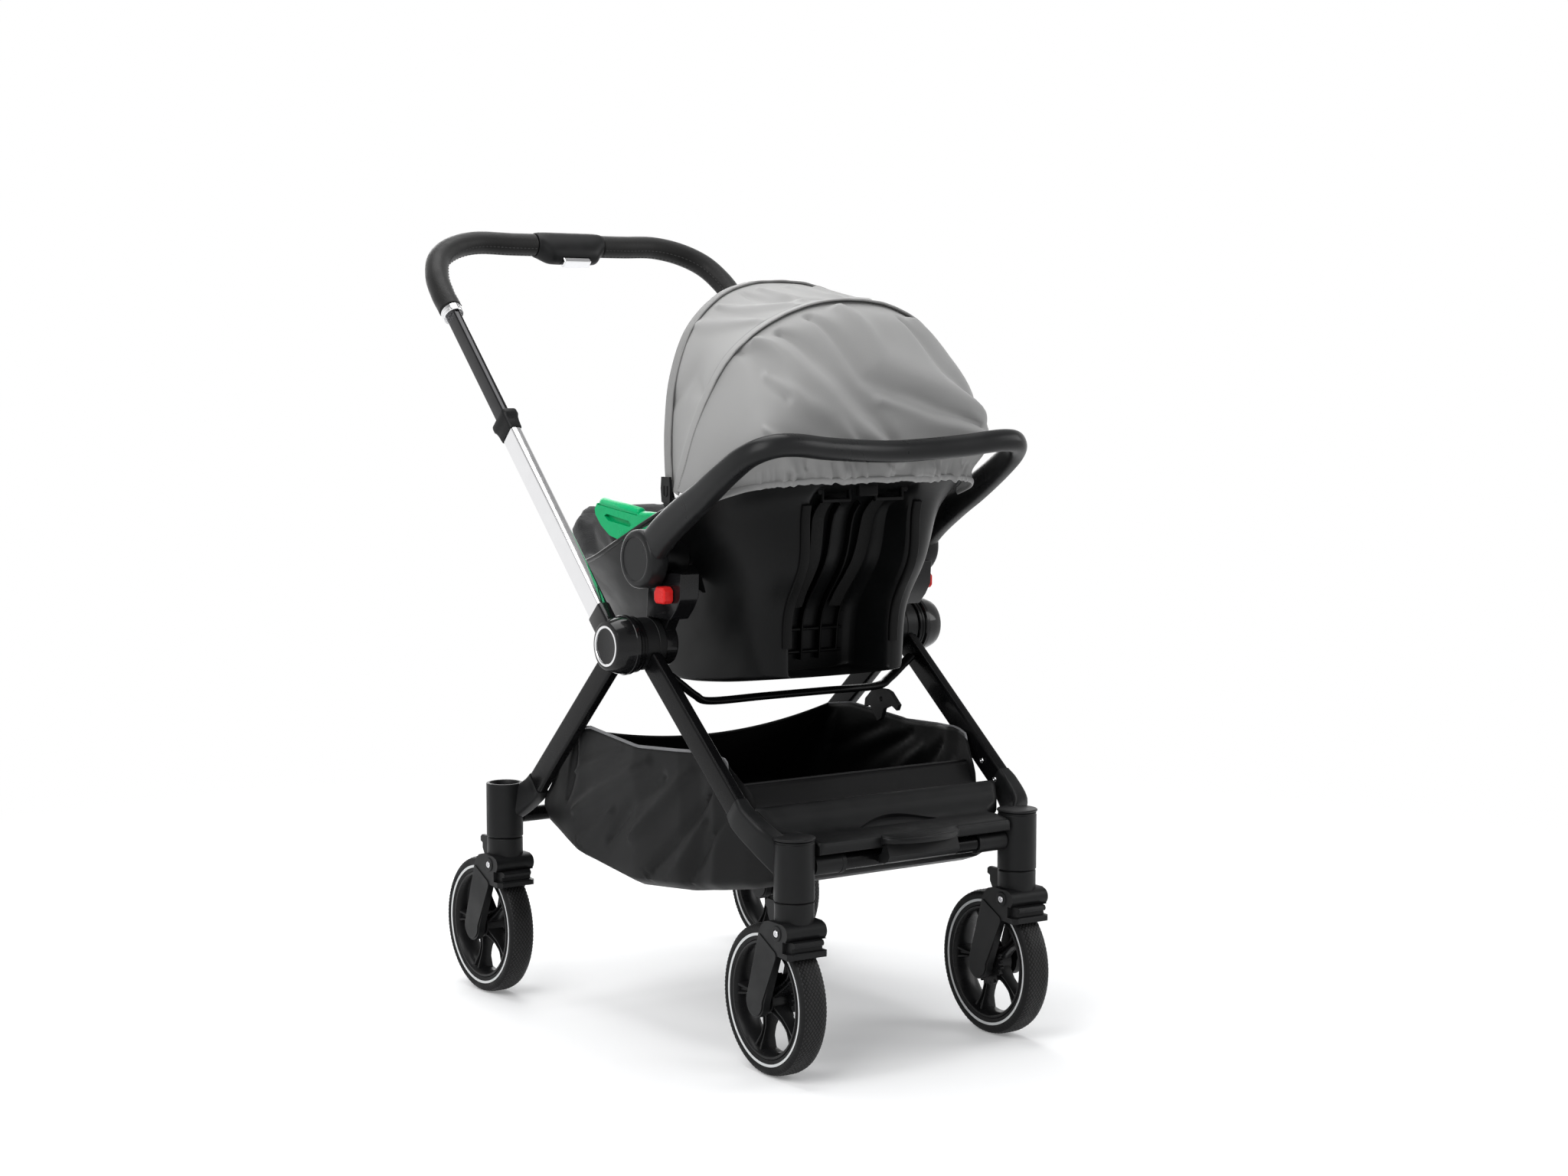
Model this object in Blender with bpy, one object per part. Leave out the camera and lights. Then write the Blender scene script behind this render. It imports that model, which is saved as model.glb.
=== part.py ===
# Travel system pushchair: folding chassis with swivel wheels, telescopic handle,
# storage basket and an infant carrier with a folding hood clipped on top.
# Chassis coordinates: x = 0 on the centre plane, z = 0 on the ground, y = 0 midway
# between the two rows of swivel posts. One parent empty moves this into the row frame,
# whose origin is on the ground at the middle of the whole outline.
import bpy
import bmesh
import math
from mathutils import Vector

for old in list(bpy.data.objects):
    bpy.data.objects.remove(old, do_unlink=True)

# driving dimensions, in metres
WHEEL_R = 0.095
TYRE_HALF = 0.0183
TYRE_SIDE_R = WHEEL_R - 0.0055
TYRE_SEAT_R = WHEEL_R - 0.0205
NEAR_TRACK = 0.3556
FAR_TRACK = 0.4893
WHEELBASE = 0.5916
TRAIL = 0.0442
NEAR_TURN = math.radians(-3.0)
POST_R = 0.0252
POST_TOP = 0.300
POST_SEAM = 0.2248
HUB_Y = -0.0019
HUB_Z = 0.5159
GAP = 0.0003
LEG_W = 0.032
LEG_T = 0.016
LEG_CORNER = 0.004
NEAR_LEG_X = 0.2072
NEAR_LEG_SPREAD = 0.012
NEAR_LEG_ANGLE = math.radians(49.9)
NEAR_LEG_REACH = WHEELBASE / 2 - 0.0778
NEAR_LEG_LEN = NEAR_LEG_REACH / math.sin(NEAR_LEG_ANGLE)
FAR_LEG_X = 0.232
FAR_LEG_SPREAD = -0.033
FAR_LEG_ANGLE = math.radians(47.8)
FAR_LEG_REACH = WHEELBASE / 2 - 0.0569
FAR_LEG_LEN = FAR_LEG_REACH / math.sin(FAR_LEG_ANGLE)
FAR_LEG_OFFSET = 0.007
HANDLE_X = 0.2483
HANDLE_ANGLE = math.radians(44.77)
SOCKET_END = 0.058
LOWER_TUBE_END = 0.390
COLLAR_START = 0.372
COLLAR_END = 0.404
UPPER_TUBE_START = 0.315
UPPER_TUBE_END = 0.5997
END_COLLAR_END = 0.612
UPPER_W = 0.025
UPPER_T = 0.011
GRIP_R = 0.0165
CROWN = 0.752
HOUSING_HALF = 0.0555
HOUSING_REACH = 0.0188
PIVOT_Y = -0.027
PIVOT_Z = 0.628
PIVOT_DISC_R = 0.038
DISC_IN = 0.2065
DISC_OUT = 0.2350
HOOD_Y = -0.0525
HOOD_Z = 0.6996
BAR_Y = -0.050
BAR_Z = 0.441
TUBE_Y = -0.295
TUBE_Z = 0.265
CROSS_R = 0.0105
CLOTH = 0.003

Y_LOW = -WHEELBASE / 2 + TRAIL - WHEEL_R - 0.0003
Y_HIGH = HUB_Y + CROWN * math.sin(HANDLE_ANGLE) + HOUSING_REACH
SHIFT_Y = -(Y_LOW + Y_HIGH) / 2

parts = bpy.data.collections.new("travel_system_pushchair")
bpy.context.scene.collection.children.link(parts)
tools = bpy.data.collections.new("shaping_tools")
bpy.context.scene.collection.children.link(tools)


def material(name, colour, rough, metal=0.0):
    mat = bpy.data.materials.new(name)
    mat.use_nodes = True
    bsdf = mat.node_tree.nodes["Principled BSDF"]
    bsdf.inputs["Base Color"].default_value = (colour[0], colour[1], colour[2], 1.0)
    bsdf.inputs["Roughness"].default_value = rough
    bsdf.inputs["Metallic"].default_value = metal
    return mat


MATS = {
    "tube_black": material("tube_black", (0.012, 0.012, 0.013), 0.35, 0.6),
    "chrome": material("chrome", (0.75, 0.75, 0.76), 0.08, 1.0),
    "plastic": material("plastic", (0.018, 0.018, 0.019), 0.5),
    "gloss": material("gloss", (0.012, 0.012, 0.013), 0.2),
    "tyre": material("tyre", (0.02, 0.02, 0.02), 0.8),
    "leather": material("leather", (0.02, 0.019, 0.018), 0.55),
    "hood_cloth": material("hood_cloth", (0.30, 0.30, 0.305), 0.85),
    "basket_cloth": material("basket_cloth", (0.02, 0.02, 0.021), 0.8),
    "liner_cloth": material("liner_cloth", (0.03, 0.03, 0.031), 0.9),
    "red": material("red", (0.62, 0.02, 0.02), 0.4),
    "green": material("green", (0.0, 0.42, 0.14), 0.45),
    "silver": material("silver", (0.6, 0.6, 0.61), 0.3, 1.0),
}


# empties carry the joints; each one remembers its place in chassis coordinates
PLACES = {}


def empty(name, at, parent=None, turn=0.0):
    ob = bpy.data.objects.new(name, None)
    ob.empty_display_size = 0.02
    parts.objects.link(ob)
    if parent is None:
        ob.location = (0.0, SHIFT_Y, 0.0)
    else:
        ob.parent = PLACES[parent][0]
        ob.location = Vector(at) - PLACES[parent][1]
    ob.rotation_euler = (0.0, 0.0, turn)
    PLACES[name] = (ob, Vector(at))
    return ob


def put(name, bm, mat, at, local=False):
    """Finish a bmesh as one named part whose origin is the empty it hangs from."""
    bmesh.ops.remove_doubles(bm, verts=bm.verts, dist=1e-6)
    if not local:
        bmesh.ops.translate(bm, verts=bm.verts, vec=-PLACES[at][1])
    bmesh.ops.recalc_face_normals(bm, faces=bm.faces)
    mesh = bpy.data.meshes.new(name)
    bm.to_mesh(mesh)
    bm.free()
    ob = bpy.data.objects.new(name, mesh)
    ob.parent = PLACES[at][0]
    mesh.materials.append(MATS[mat])
    parts.objects.link(ob)
    return ob


def tool(name, bm, at, local=False):
    """A hidden body used only to add to or cut from a part."""
    bmesh.ops.remove_doubles(bm, verts=bm.verts, dist=1e-6)
    if not local:
        bmesh.ops.translate(bm, verts=bm.verts, vec=-PLACES[at][1])
    bmesh.ops.recalc_face_normals(bm, faces=bm.faces)
    mesh = bpy.data.meshes.new(name)
    bm.to_mesh(mesh)
    bm.free()
    ob = bpy.data.objects.new(name, mesh)
    ob.parent = PLACES[at][0]
    ob.hide_render = True
    ob.display_type = "WIRE"
    tools.objects.link(ob)
    return ob


def combine(ob, other, how):
    mod = ob.modifiers.new(how.lower(), "BOOLEAN")
    mod.operation = how
    mod.solver = "EXACT"
    mod.object = other


def loft(rings, around=False, bm=None):
    """Skin a list of rings; closed at both ends, or joined end to start."""
    if bm is None:
        bm = bmesh.new()
    rows = []
    for ring in rings:
        rows.append([bm.verts.new(p) for p in ring])
    count = len(rows[0])
    total = len(rows)
    steps = total if around else total - 1
    for i in range(steps):
        a = rows[i]
        b = rows[(i + 1) % total]
        for j in range(count):
            k = (j + 1) % count
            bm.faces.new((a[j], a[k], b[k], b[j]))
    if not around:
        caps = [bm.faces.new(rows[0][::-1]), bm.faces.new(rows[-1])]
        bmesh.ops.triangulate(bm, faces=caps, quad_method="BEAUTY", ngon_method="BEAUTY")
    return bm


def rounded(width, height, corner, steps=3):
    """Rounded rectangle as (a, b) pairs."""
    pts = []
    for q in range(4):
        cx = (width / 2 - corner) * (1, -1, -1, 1)[q]
        cy = (height / 2 - corner) * (1, 1, -1, -1)[q]
        for s in range(steps + 1):
            ang = math.pi / 2 * (q + s / steps)
            pts.append((cx + corner * math.cos(ang), cy + corner * math.sin(ang)))
    return pts


def oval(a, b, count=16):
    return [(a * math.cos(2 * math.pi * i / count), b * math.sin(2 * math.pi * i / count))
            for i in range(count)]


def smooth_path(points, steps):
    """Catmull-Rom samples through the given points."""
    pts = [Vector(p) for p in points]
    out = []
    for i in range(len(pts) - 1):
        p0 = pts[i - 1] if i > 0 else pts[0] * 2 - pts[1]
        p1 = pts[i]
        p2 = pts[i + 1]
        p3 = pts[i + 2] if i + 2 < len(pts) else pts[-1] * 2 - pts[-2]
        for s in range(steps):
            t = s / steps
            a = -0.5 * t + t * t - 0.5 * t ** 3
            b = 1 - 2.5 * t * t + 1.5 * t ** 3
            c = 0.5 * t + 2 * t * t - 1.5 * t ** 3
            d = -0.5 * t * t + 0.5 * t ** 3
            out.append(p0 * a + p1 * b + p2 * c + p3 * d)
    out.append(pts[-1])
    return out


def sweep_rings(path, section, side):
    """Rings of a section along a path; the section's first axis stays near `side`."""
    pts = [Vector(p) for p in path]
    rings = []
    for i, p in enumerate(pts):
        a = pts[max(i - 1, 0)]
        b = pts[min(i + 1, len(pts) - 1)]
        tan = (b - a).normalized()
        first = Vector(side)
        first = (first - tan * first.dot(tan)).normalized()
        second = tan.cross(first)
        sec = section(i / (len(pts) - 1)) if callable(section) else section
        rings.append([p + first * u + second * v for u, v in sec])
    return rings


def tube(path, section, side=(1, 0, 0)):
    return loft(sweep_rings(path, section, side))


def hollow(levels, centre, first, second, along):
    """Hollow body from (distance, section) pairs that go up outside and down inside."""
    rings = []
    for dist, sec in levels:
        base = centre + along * dist
        rings.append([base + first * u + second * v for u, v in sec])
    return loft(rings, around=True)


def lathe(profile, centre, count=24, closed=True, phase=0.0):
    """Turn (radius, x) pairs about an axis along x."""
    c = Vector(centre)
    rings = []
    for r, h in profile:
        ring = []
        for j in range(count):
            ang = 2 * math.pi * (j + phase) / count
            ring.append(c + Vector((h, r * math.cos(ang), r * math.sin(ang))))
        rings.append(ring)
    return loft(rings, around=closed)


def disc_z(profile, centre, count=28):
    """Turn (radius, z) pairs about a vertical axis."""
    c = Vector(centre)
    rings = []
    for r, h in profile:
        rings.append([c + Vector((r * math.cos(2 * math.pi * j / count),
                                  r * math.sin(2 * math.pi * j / count), h)) for j in range(count)])
    return loft(rings)


def prism(outline, lo, hi):
    """Outline of (y, z) pairs pushed along x from lo to hi."""
    return loft([[Vector((lo, y, z)) for y, z in outline], [Vector((hi, y, z)) for y, z in outline]])


def block(lo, hi):
    x0, y0, z0 = lo
    x1, y1, z1 = hi
    return prism([(y0, z0), (y1, z0), (y1, z1), (y0, z1)], x0, x1)


def table(pairs, at):
    """Straight-line reading of a small table of (position, value) pairs."""
    if at <= pairs[0][0]:
        return pairs[0][1]
    for (a, va), (b, vb) in zip(pairs, pairs[1:]):
        if at <= b:
            return va + (vb - va) * (at - a) / (b - a)
    return pairs[-1][1]


# where the joints sit
empty("chassis", (0, 0, 0))
empty("hub_axis", (0, HUB_Y, HUB_Z), "chassis")
empty("far_fold", (0, HUB_Y, HUB_Z), "chassis")
empty("handle_slide", (0, HUB_Y, HUB_Z), "hub_axis")
empty("pedal_axis", (0, TUBE_Y, TUBE_Z), "chassis")
empty("hook_axis", (0, BAR_Y, BAR_Z + 0.006), "chassis")
empty("carrier", (0, PIVOT_Y, PIVOT_Z), "chassis")
empty("carrier_pivot", (0, PIVOT_Y, PIVOT_Z), "carrier")
empty("hood_mid_axis", (0, HOOD_Y, HOOD_Z), "carrier")
empty("hood_axis", (0, HOOD_Y, HOOD_Z), "hood_mid_axis")
SIDES = (("right", -1), ("left", 1))
CASTERS = []
for end, track, y_post, turn, parent in (
        ("near", NEAR_TRACK, -WHEELBASE / 2, NEAR_TURN, "chassis"),
        ("far", FAR_TRACK, WHEELBASE / 2, 0.0, "far_fold")):
    for side, s in SIDES:
        key = end + "_" + side
        empty(key + "_swivel", (s * track / 2, y_post, 0), parent, turn)
        CASTERS.append((key, s, end))


# chassis: near legs, the hub pieces that stay with them and the near castings
def leg_line(s, x0, spread, angle, length, start, lean, offset):
    """Start and end of a leg centre line; lean is -1 for near legs and 1 for far legs."""
    d = Vector((s * spread, lean * math.sin(angle), -math.cos(angle)))
    n = Vector((0, math.cos(angle), lean * math.sin(angle)))
    base = Vector((s * x0, HUB_Y, HUB_Z)) + n * offset
    return base + d * start, base + d * length, d.normalized(), n


LEG_SECTION = rounded(LEG_T, LEG_W, LEG_CORNER)
HUB_CORE_R = 0.034
HUB_CORE_IN = 0.190
HUB_CORE_OUT = 0.2215
for side, s in SIDES:
    a, b, d, n = leg_line(s, NEAR_LEG_X, NEAR_LEG_SPREAD, NEAR_LEG_ANGLE, NEAR_LEG_LEN, HUB_CORE_R + GAP, -1, 0.0)
    put("near_leg_" + side, tube([a, b], LEG_SECTION), "tube_black", "chassis")
    core = [(0.010, HUB_CORE_IN), (HUB_CORE_R - 0.002, HUB_CORE_IN), (HUB_CORE_R, HUB_CORE_IN + 0.002),
            (HUB_CORE_R, HUB_CORE_OUT - 0.001), (HUB_CORE_R - 0.001, HUB_CORE_OUT), (0.010, HUB_CORE_OUT)]
    put("hub_core_" + side, lathe([(r, s * x) for r, x in core], (0, HUB_Y, HUB_Z)), "plastic", "chassis")

    # casting: socket round the leg end, arm, and the upright post of the swivel
    post = Vector((s * NEAR_TRACK / 2, -WHEELBASE / 2, 0))
    body = disc_z([(POST_R - 0.0015, POST_SEAM + GAP), (POST_R, POST_SEAM + 0.002), (POST_R, POST_TOP - 0.002),
                   (POST_R - 0.002, POST_TOP)], post)
    casting = put("near_casting_" + side, body, "plastic", "chassis")
    rings = []
    for dist, w, h in ((0.0007, 0.034, 0.019), (0.020, 0.036, 0.022)):
        c = b + d * dist
        rings.append([c + Vector((1, 0, 0)) * u + n * v for u, v in rounded(h, w, 0.004)])
    mid = (b + d * 0.042) * 0.7 + Vector((post.x, post.y, 0.276)) * 0.3
    rings.append([mid + Vector((1, 0, 0)) * u + (n + Vector((0, 0.35, -0.5))).normalized() * v
                  for u, v in rounded(0.026, 0.040, 0.006)])
    end_c = Vector((post.x, post.y + 0.006, 0.268))
    rings.append([end_c + Vector((1, 0, 0)) * u + Vector((0, 0.1, -0.99)) * v
                  for u, v in rounded(0.030, 0.046, 0.006)])
    arm = tool("near_arm_" + side, loft(rings), "chassis")
    combine(casting, arm, "UNION")

    # post that carries the carrier on each side
    ring = [(0.010, 0.170), (0.028, 0.170), (0.030, 0.172), (0.030, HUB_CORE_IN - GAP), (0.010, HUB_CORE_IN - GAP)]
    adaptor = put("carrier_adaptor_" + side, lathe([(r, s * x) for r, x in ring], (0, HUB_Y, HUB_Z)),
                  "gloss", "chassis")
    stem = prism([(HUB_Y - 0.022, HUB_Z + 0.014), (HUB_Y + 0.020, HUB_Z + 0.014), (HUB_Y + 0.002, 0.562),
                  (HUB_Y - 0.044, 0.562)], *sorted((s * 0.172, s * (HUB_CORE_IN - GAP - 0.0004))))
    combine(adaptor, tool("adaptor_stem_" + side, stem, "chassis"), "UNION")
    pillar = prism([(-0.004, 0.5508), (-0.008, 0.590), (-0.013, 0.6062), (-0.047, 0.6062), (-0.058, 0.611),
                    (-0.086, 0.611), (-0.084, 0.580), (-0.060, 0.5508)], *sorted((s * 0.1745, s * 0.2030)))
    combine(adaptor, tool("adaptor_pillar_" + side, pillar, "chassis"), "UNION")

# foot plate across the near castings, with its raised rear ridge
# y, how far the edge stands from the post's middle, top and underside
PLATE = ((-0.314, -0.0278, 0.290, 0.2815), (-0.310, -0.0255, 0.295, 0.2795), (-0.290, -0.0255, 0.2985, 0.2795),
         (-0.270, -0.0278, 0.301, 0.285), (-0.256, -0.0138, 0.309, 0.294), (-0.245, -0.0038, 0.321, 0.303),
         (-0.236, 0.0042, 0.330, 0.311), (-0.229, 0.0062, 0.3305, 0.314), (-0.225, 0.0062, 0.327, 0.317))
rings = []
for y, margin, top, low in PLATE:
    w = NEAR_TRACK / 2 + margin
    ring = []
    cuts = (-1.0, -0.97, -0.5, 0.0, 0.5, 0.97, 1.0)
    for i, k in enumerate(cuts):
        drop = 0.0 if 0 < i < 6 else 0.003
        ring.append(Vector((w * k, y, top - drop)))
    for k in reversed(cuts):
        ring.append(Vector((w * k, y, low)))
    rings.append(ring)
put("foot_plate", loft(rings), "plastic", "chassis")
half = NEAR_TRACK / 2 - POST_R - GAP
put("near_cross_tube", tube([(-half, TUBE_Y, TUBE_Z), (half, TUBE_Y, TUBE_Z)], oval(CROSS_R, CROSS_R, 20), (0, 0, 1)),
    "tube_black", "chassis")

# flat bar below the carrier, bent up at both ends to reach the near legs
bar_end = NEAR_LEG_X + NEAR_LEG_SPREAD * 0.07 - LEG_T / 2 - 0.0038
bar_path = [(-bar_end, BAR_Y, BAR_Z + 0.037), (-0.180, BAR_Y, BAR_Z + 0.025), (-0.158, BAR_Y, BAR_Z + 0.009),
            (-0.135, BAR_Y, BAR_Z), (0, BAR_Y, BAR_Z), (0.135, BAR_Y, BAR_Z), (0.158, BAR_Y, BAR_Z + 0.009),
            (0.180, BAR_Y, BAR_Z + 0.025), (bar_end, BAR_Y, BAR_Z + 0.037)]
put("seat_bar", tube(smooth_path(bar_path, 2), oval(0.0055, 0.0095, 10), (0, 0, 1)), "tube_black", "chassis")

# fold hook that hangs below the bar
HOOK = ((-0.070, 0.4340), (-0.060, 0.4368), (-0.040, 0.4368), (-0.030, 0.4340), (-0.014, 0.420), (-0.012, 0.408), (-0.024, 0.412), (-0.036, 0.398),
        (-0.042, 0.392), (-0.050, 0.396), (-0.056, 0.410), (-0.072, 0.416), (-0.084, 0.410), (-0.088, 0.418))
hook = put("fold_hook", prism(HOOK, 0.1450, 0.1510), "plastic", "hook_axis")
eye = tube([(0.140, -0.050, 0.4225), (0.156, -0.050, 0.4225)], oval(0.0035, 0.0035, 16), (0, 0, 1))
combine(hook, tool("hook_eye", eye, "hook_axis"), "DIFFERENCE")

# brake pedal: lens-shaped pad with a lug that reaches back to the cross tube
LUG = ((-0.3280, 0.2700), (-0.3200, 0.2605), (-0.3058, 0.2600), (-0.3058, 0.2695), (-0.3110, 0.2720))
PAD_Y = -0.3158
rings = []
for x, reach, lug in ((-0.0600, 0.003, False), (-0.0540, 0.014, False), (-0.0400, 0.024, False),
                      (-0.0240, 0.029, False), (-0.0220, 0.0292, True), (0.0, 0.031, True),
                      (0.0220, 0.0292, True), (0.0240, 0.029, False), (0.0400, 0.024, False),
                      (0.0540, 0.014, False), (0.0600, 0.003, False)):
    ring = [(PAD_Y, 0.2960), (PAD_Y - reach * 0.85, 0.2935), (PAD_Y - reach, 0.2895), (PAD_Y - reach * 0.85, 0.2855)]
    for k, (y, z) in enumerate(LUG):
        share = (k + 1) / 6
        if lug:
            ring.append((y, z))
        else:
            ring.append((PAD_Y - reach * 0.85 * (1 - share), 0.2855 - 0.0015 * share - 0.0012 * share * (1 - share)))
    ring.append((PAD_Y, 0.2840))
    rings.append([Vector((x, y, z)) for y, z in ring])
put("brake_pedal", loft(rings), "plastic", "pedal_axis")


# far legs with their hub rings, far castings and the tube between them
RING_IN = HUB_CORE_OUT + GAP
RING_OUT = 0.2316
for side, s in SIDES:
    a, b, d, n = leg_line(s, FAR_LEG_X, FAR_LEG_SPREAD, FAR_LEG_ANGLE, FAR_LEG_LEN, 0.0415, 1, FAR_LEG_OFFSET)
    leg = put("far_leg_" + side, tube([a, b], LEG_SECTION), "tube_black", "far_fold")
    ring = [(0.010, RING_IN), (0.0355, RING_IN), (0.0365, RING_IN + 0.001), (0.0365, RING_OUT - 0.001),
            (0.0355, RING_OUT), (0.010, RING_OUT)]
    combine(leg, tool("far_ring_" + side, lathe([(r, s * x) for r, x in ring], (0, HUB_Y, HUB_Z)), "far_fold"),
            "UNION")
    neck_a = Vector((s * ((RING_IN + RING_OUT) / 2 + 0.0008), HUB_Y, HUB_Z)) + n * FAR_LEG_OFFSET
    neck = tube([neck_a + d * 0.028, neck_a + d * 0.052], rounded(RING_OUT - RING_IN - 0.0022, 0.030, 0.002))
    combine(leg, tool("far_neck_" + side, neck, "far_fold"), "UNION")

    post = Vector((s * FAR_TRACK / 2, WHEELBASE / 2, 0))
    body = disc_z([(POST_R - 0.0015, POST_SEAM + GAP), (POST_R, POST_SEAM + 0.002), (POST_R, POST_TOP - 0.0015),
                   (POST_R - 0.0015, POST_TOP), (0.0205, POST_TOP), (0.0190, POST_TOP - 0.003)], post)
    casting = put("far_casting_" + side, body, "plastic", "far_fold")
    rings = []
    for dist, w, h in ((0.0007, 0.034, 0.019), (0.016, 0.036, 0.022)):
        c = b + d * dist
        rings.append([c + Vector((1, 0, 0)) * u + n * v for u, v in rounded(h, w, 0.004)])
    end_c = Vector((post.x - s * 0.004, post.y - 0.010, 0.270))
    mid = (b + d * 0.030) * 0.6 + end_c * 0.4
    rings.append([mid + Vector((1, 0, 0)) * u + (n + Vector((0, -0.30, 0.5))).normalized() * v
                  for u, v in rounded(0.025, 0.040, 0.006)])
    rings.append([end_c + Vector((1, 0, 0)) * u + Vector((0, 0.1, 0.99)) * v
                  for u, v in rounded(0.030, 0.046, 0.006)])
    combine(casting, tool("far_arm_" + side, loft(rings), "far_fold"), "UNION")
half = FAR_TRACK / 2 - POST_R - GAP
put("far_cross_tube", tube([(-half, WHEELBASE / 2, TUBE_Z - 0.013), (half, WHEELBASE / 2, TUBE_Z - 0.013)],
                           oval(CROSS_R, CROSS_R, 20), (0, 0, 1)), "tube_black", "far_fold")


# handle: hub caps with sockets, chrome lower tubes, collars
ALONG = Vector((0, math.sin(HANDLE_ANGLE), math.cos(HANDLE_ANGLE)))
ACROSS = Vector((0, math.cos(HANDLE_ANGLE), -math.sin(HANDLE_ANGLE)))
XDIR = Vector((1, 0, 0))
CAP_IN = RING_OUT + GAP
for side, s in SIDES:
    base = Vector((s * HANDLE_X, HUB_Y, HUB_Z))
    cap = [(0.0375, CAP_IN), (0.0388, CAP_IN + 0.002), (0.0388, CAP_IN + 0.006), (0.0360, 0.2500),
           (0.0320, 0.2605), (0.0300, 0.2634)]
    cap_ob = put("hub_cap_" + side, lathe([(r, s * x) for r, x in cap], (0, HUB_Y, HUB_Z), 32, False),
                 "plastic", "hub_axis")
    socket = tube([base + ALONG * 0.012, base + ALONG * SOCKET_END], rounded(0.0180, 0.036, 0.004))
    combine(cap_ob, tool("cap_socket_" + side, socket, "hub_axis"), "UNION")

    outer = rounded(LEG_T, LEG_W, LEG_CORNER)
    inner = rounded(LEG_T - 0.0036, LEG_W - 0.0036, LEG_CORNER - 0.0015)
    lower = hollow([(SOCKET_END + GAP, outer), (LOWER_TUBE_END, outer), (LOWER_TUBE_END, inner),
                    (SOCKET_END + GAP, inner)], base, XDIR, ACROSS, ALONG)
    put("lower_tube_" + side, lower, "chrome", "hub_axis")
    skirt = rounded(LEG_T + 2 * GAP, LEG_W + 2 * GAP, LEG_CORNER)
    throat = rounded(UPPER_T + 2 * GAP, UPPER_W + 2 * GAP, 0.003)
    out_a = rounded(0.0215, 0.038, 0.005)
    out_b = rounded(0.0240, 0.043, 0.006)
    out_c = rounded(0.0170, 0.031, 0.004)
    step = LOWER_TUBE_END + GAP
    collar = hollow([(COLLAR_START, out_a), (COLLAR_START + 0.010, out_b), (COLLAR_END - 0.012, out_b),
                     (COLLAR_END, out_c), (COLLAR_END, throat), (step, throat), (step, skirt),
                     (COLLAR_START, skirt)], base, XDIR, ACROSS, ALONG)
    put("slide_collar_" + side, collar, "plastic", "hub_axis")

    # upper tube, its chrome end collar and the wrapped grip
    upper = tube([base + ALONG * UPPER_TUBE_START, base + ALONG * UPPER_TUBE_END], rounded(UPPER_T, UPPER_W, 0.003))
    put("upper_tube_" + side, upper, "tube_black", "handle_slide")
    cuff = tube([base + ALONG * (UPPER_TUBE_END + GAP), base + ALONG * (UPPER_TUBE_END + 0.004),
                 base + ALONG * (END_COLLAR_END - 0.003), base + ALONG * END_COLLAR_END],
                lambda t: oval(0.0150, 0.0165) if 0.2 < t < 0.8 else oval(0.0138, 0.0155))
    put("grip_cuff_" + side, cuff, "chrome", "handle_slide")
    grip_pts = ((0.2483, END_COLLAR_END + 2 * GAP), (0.2484, 0.622), (0.2488, 0.645), (0.2440, 0.680), (0.2270, 0.716), (0.1945, 0.7405),
                (0.1510, 0.7530), (0.1000, CROWN + 0.0002), (0.0700, CROWN), (HOUSING_HALF + 2 * GAP, CROWN))
    path = [Vector((s * x, HUB_Y, HUB_Z)) + ALONG * dist for x, dist in grip_pts]
    put("grip_" + side, tube(smooth_path(path, 3), oval(GRIP_R, GRIP_R, 12), ACROSS), "leather", "handle_slide")

# fold housing at the crown with the release button in its pocket
crown = Vector((0, HUB_Y, HUB_Z)) + ALONG * CROWN
rings = []
for x, up, down, wide in ((-HOUSING_HALF, 0.0175, 0.0175, 0.0175), (-0.050, 0.0185, 0.021, 0.0185),
                          (-0.040, 0.0190, 0.032, 0.0190), (-0.028, 0.0190, 0.0345, 0.0190),
                          (0.028, 0.0190, 0.0345, 0.0190), (0.040, 0.0190, 0.032, 0.0190),
                          (0.050, 0.0185, 0.021, 0.0185), (HOUSING_HALF, 0.0175, 0.0175, 0.0175)):
    ring = []
    for i in range(20):
        ang = 2 * math.pi * i / 20
        u = math.sin(ang)
        u = u * up if u > 0 else -down * abs(u) ** 0.8
        ring.append(crown + XDIR * x + ALONG * u + ACROSS * (wide * math.cos(ang)))
    rings.append(ring)
housing = put("fold_housing", loft(rings), "plastic", "handle_slide")


def handle_block(x, lo, hi, half_v):
    ring = []
    for px, pv in ((-x, -half_v), (x, -half_v), (x, half_v), (-x, half_v)):
        ring.append(crown + XDIR * px + ACROSS * pv)
    return loft([[p + ALONG * lo for p in ring], [p + ALONG * hi for p in ring]])


combine(housing, tool("button_pocket", handle_block(0.0235, -0.050, -0.0215, 0.0075), "handle_slide"), "DIFFERENCE")
put("fold_button", handle_block(0.0228, -0.0410, -0.0275, 0.0068), "silver", "handle_slide")


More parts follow.
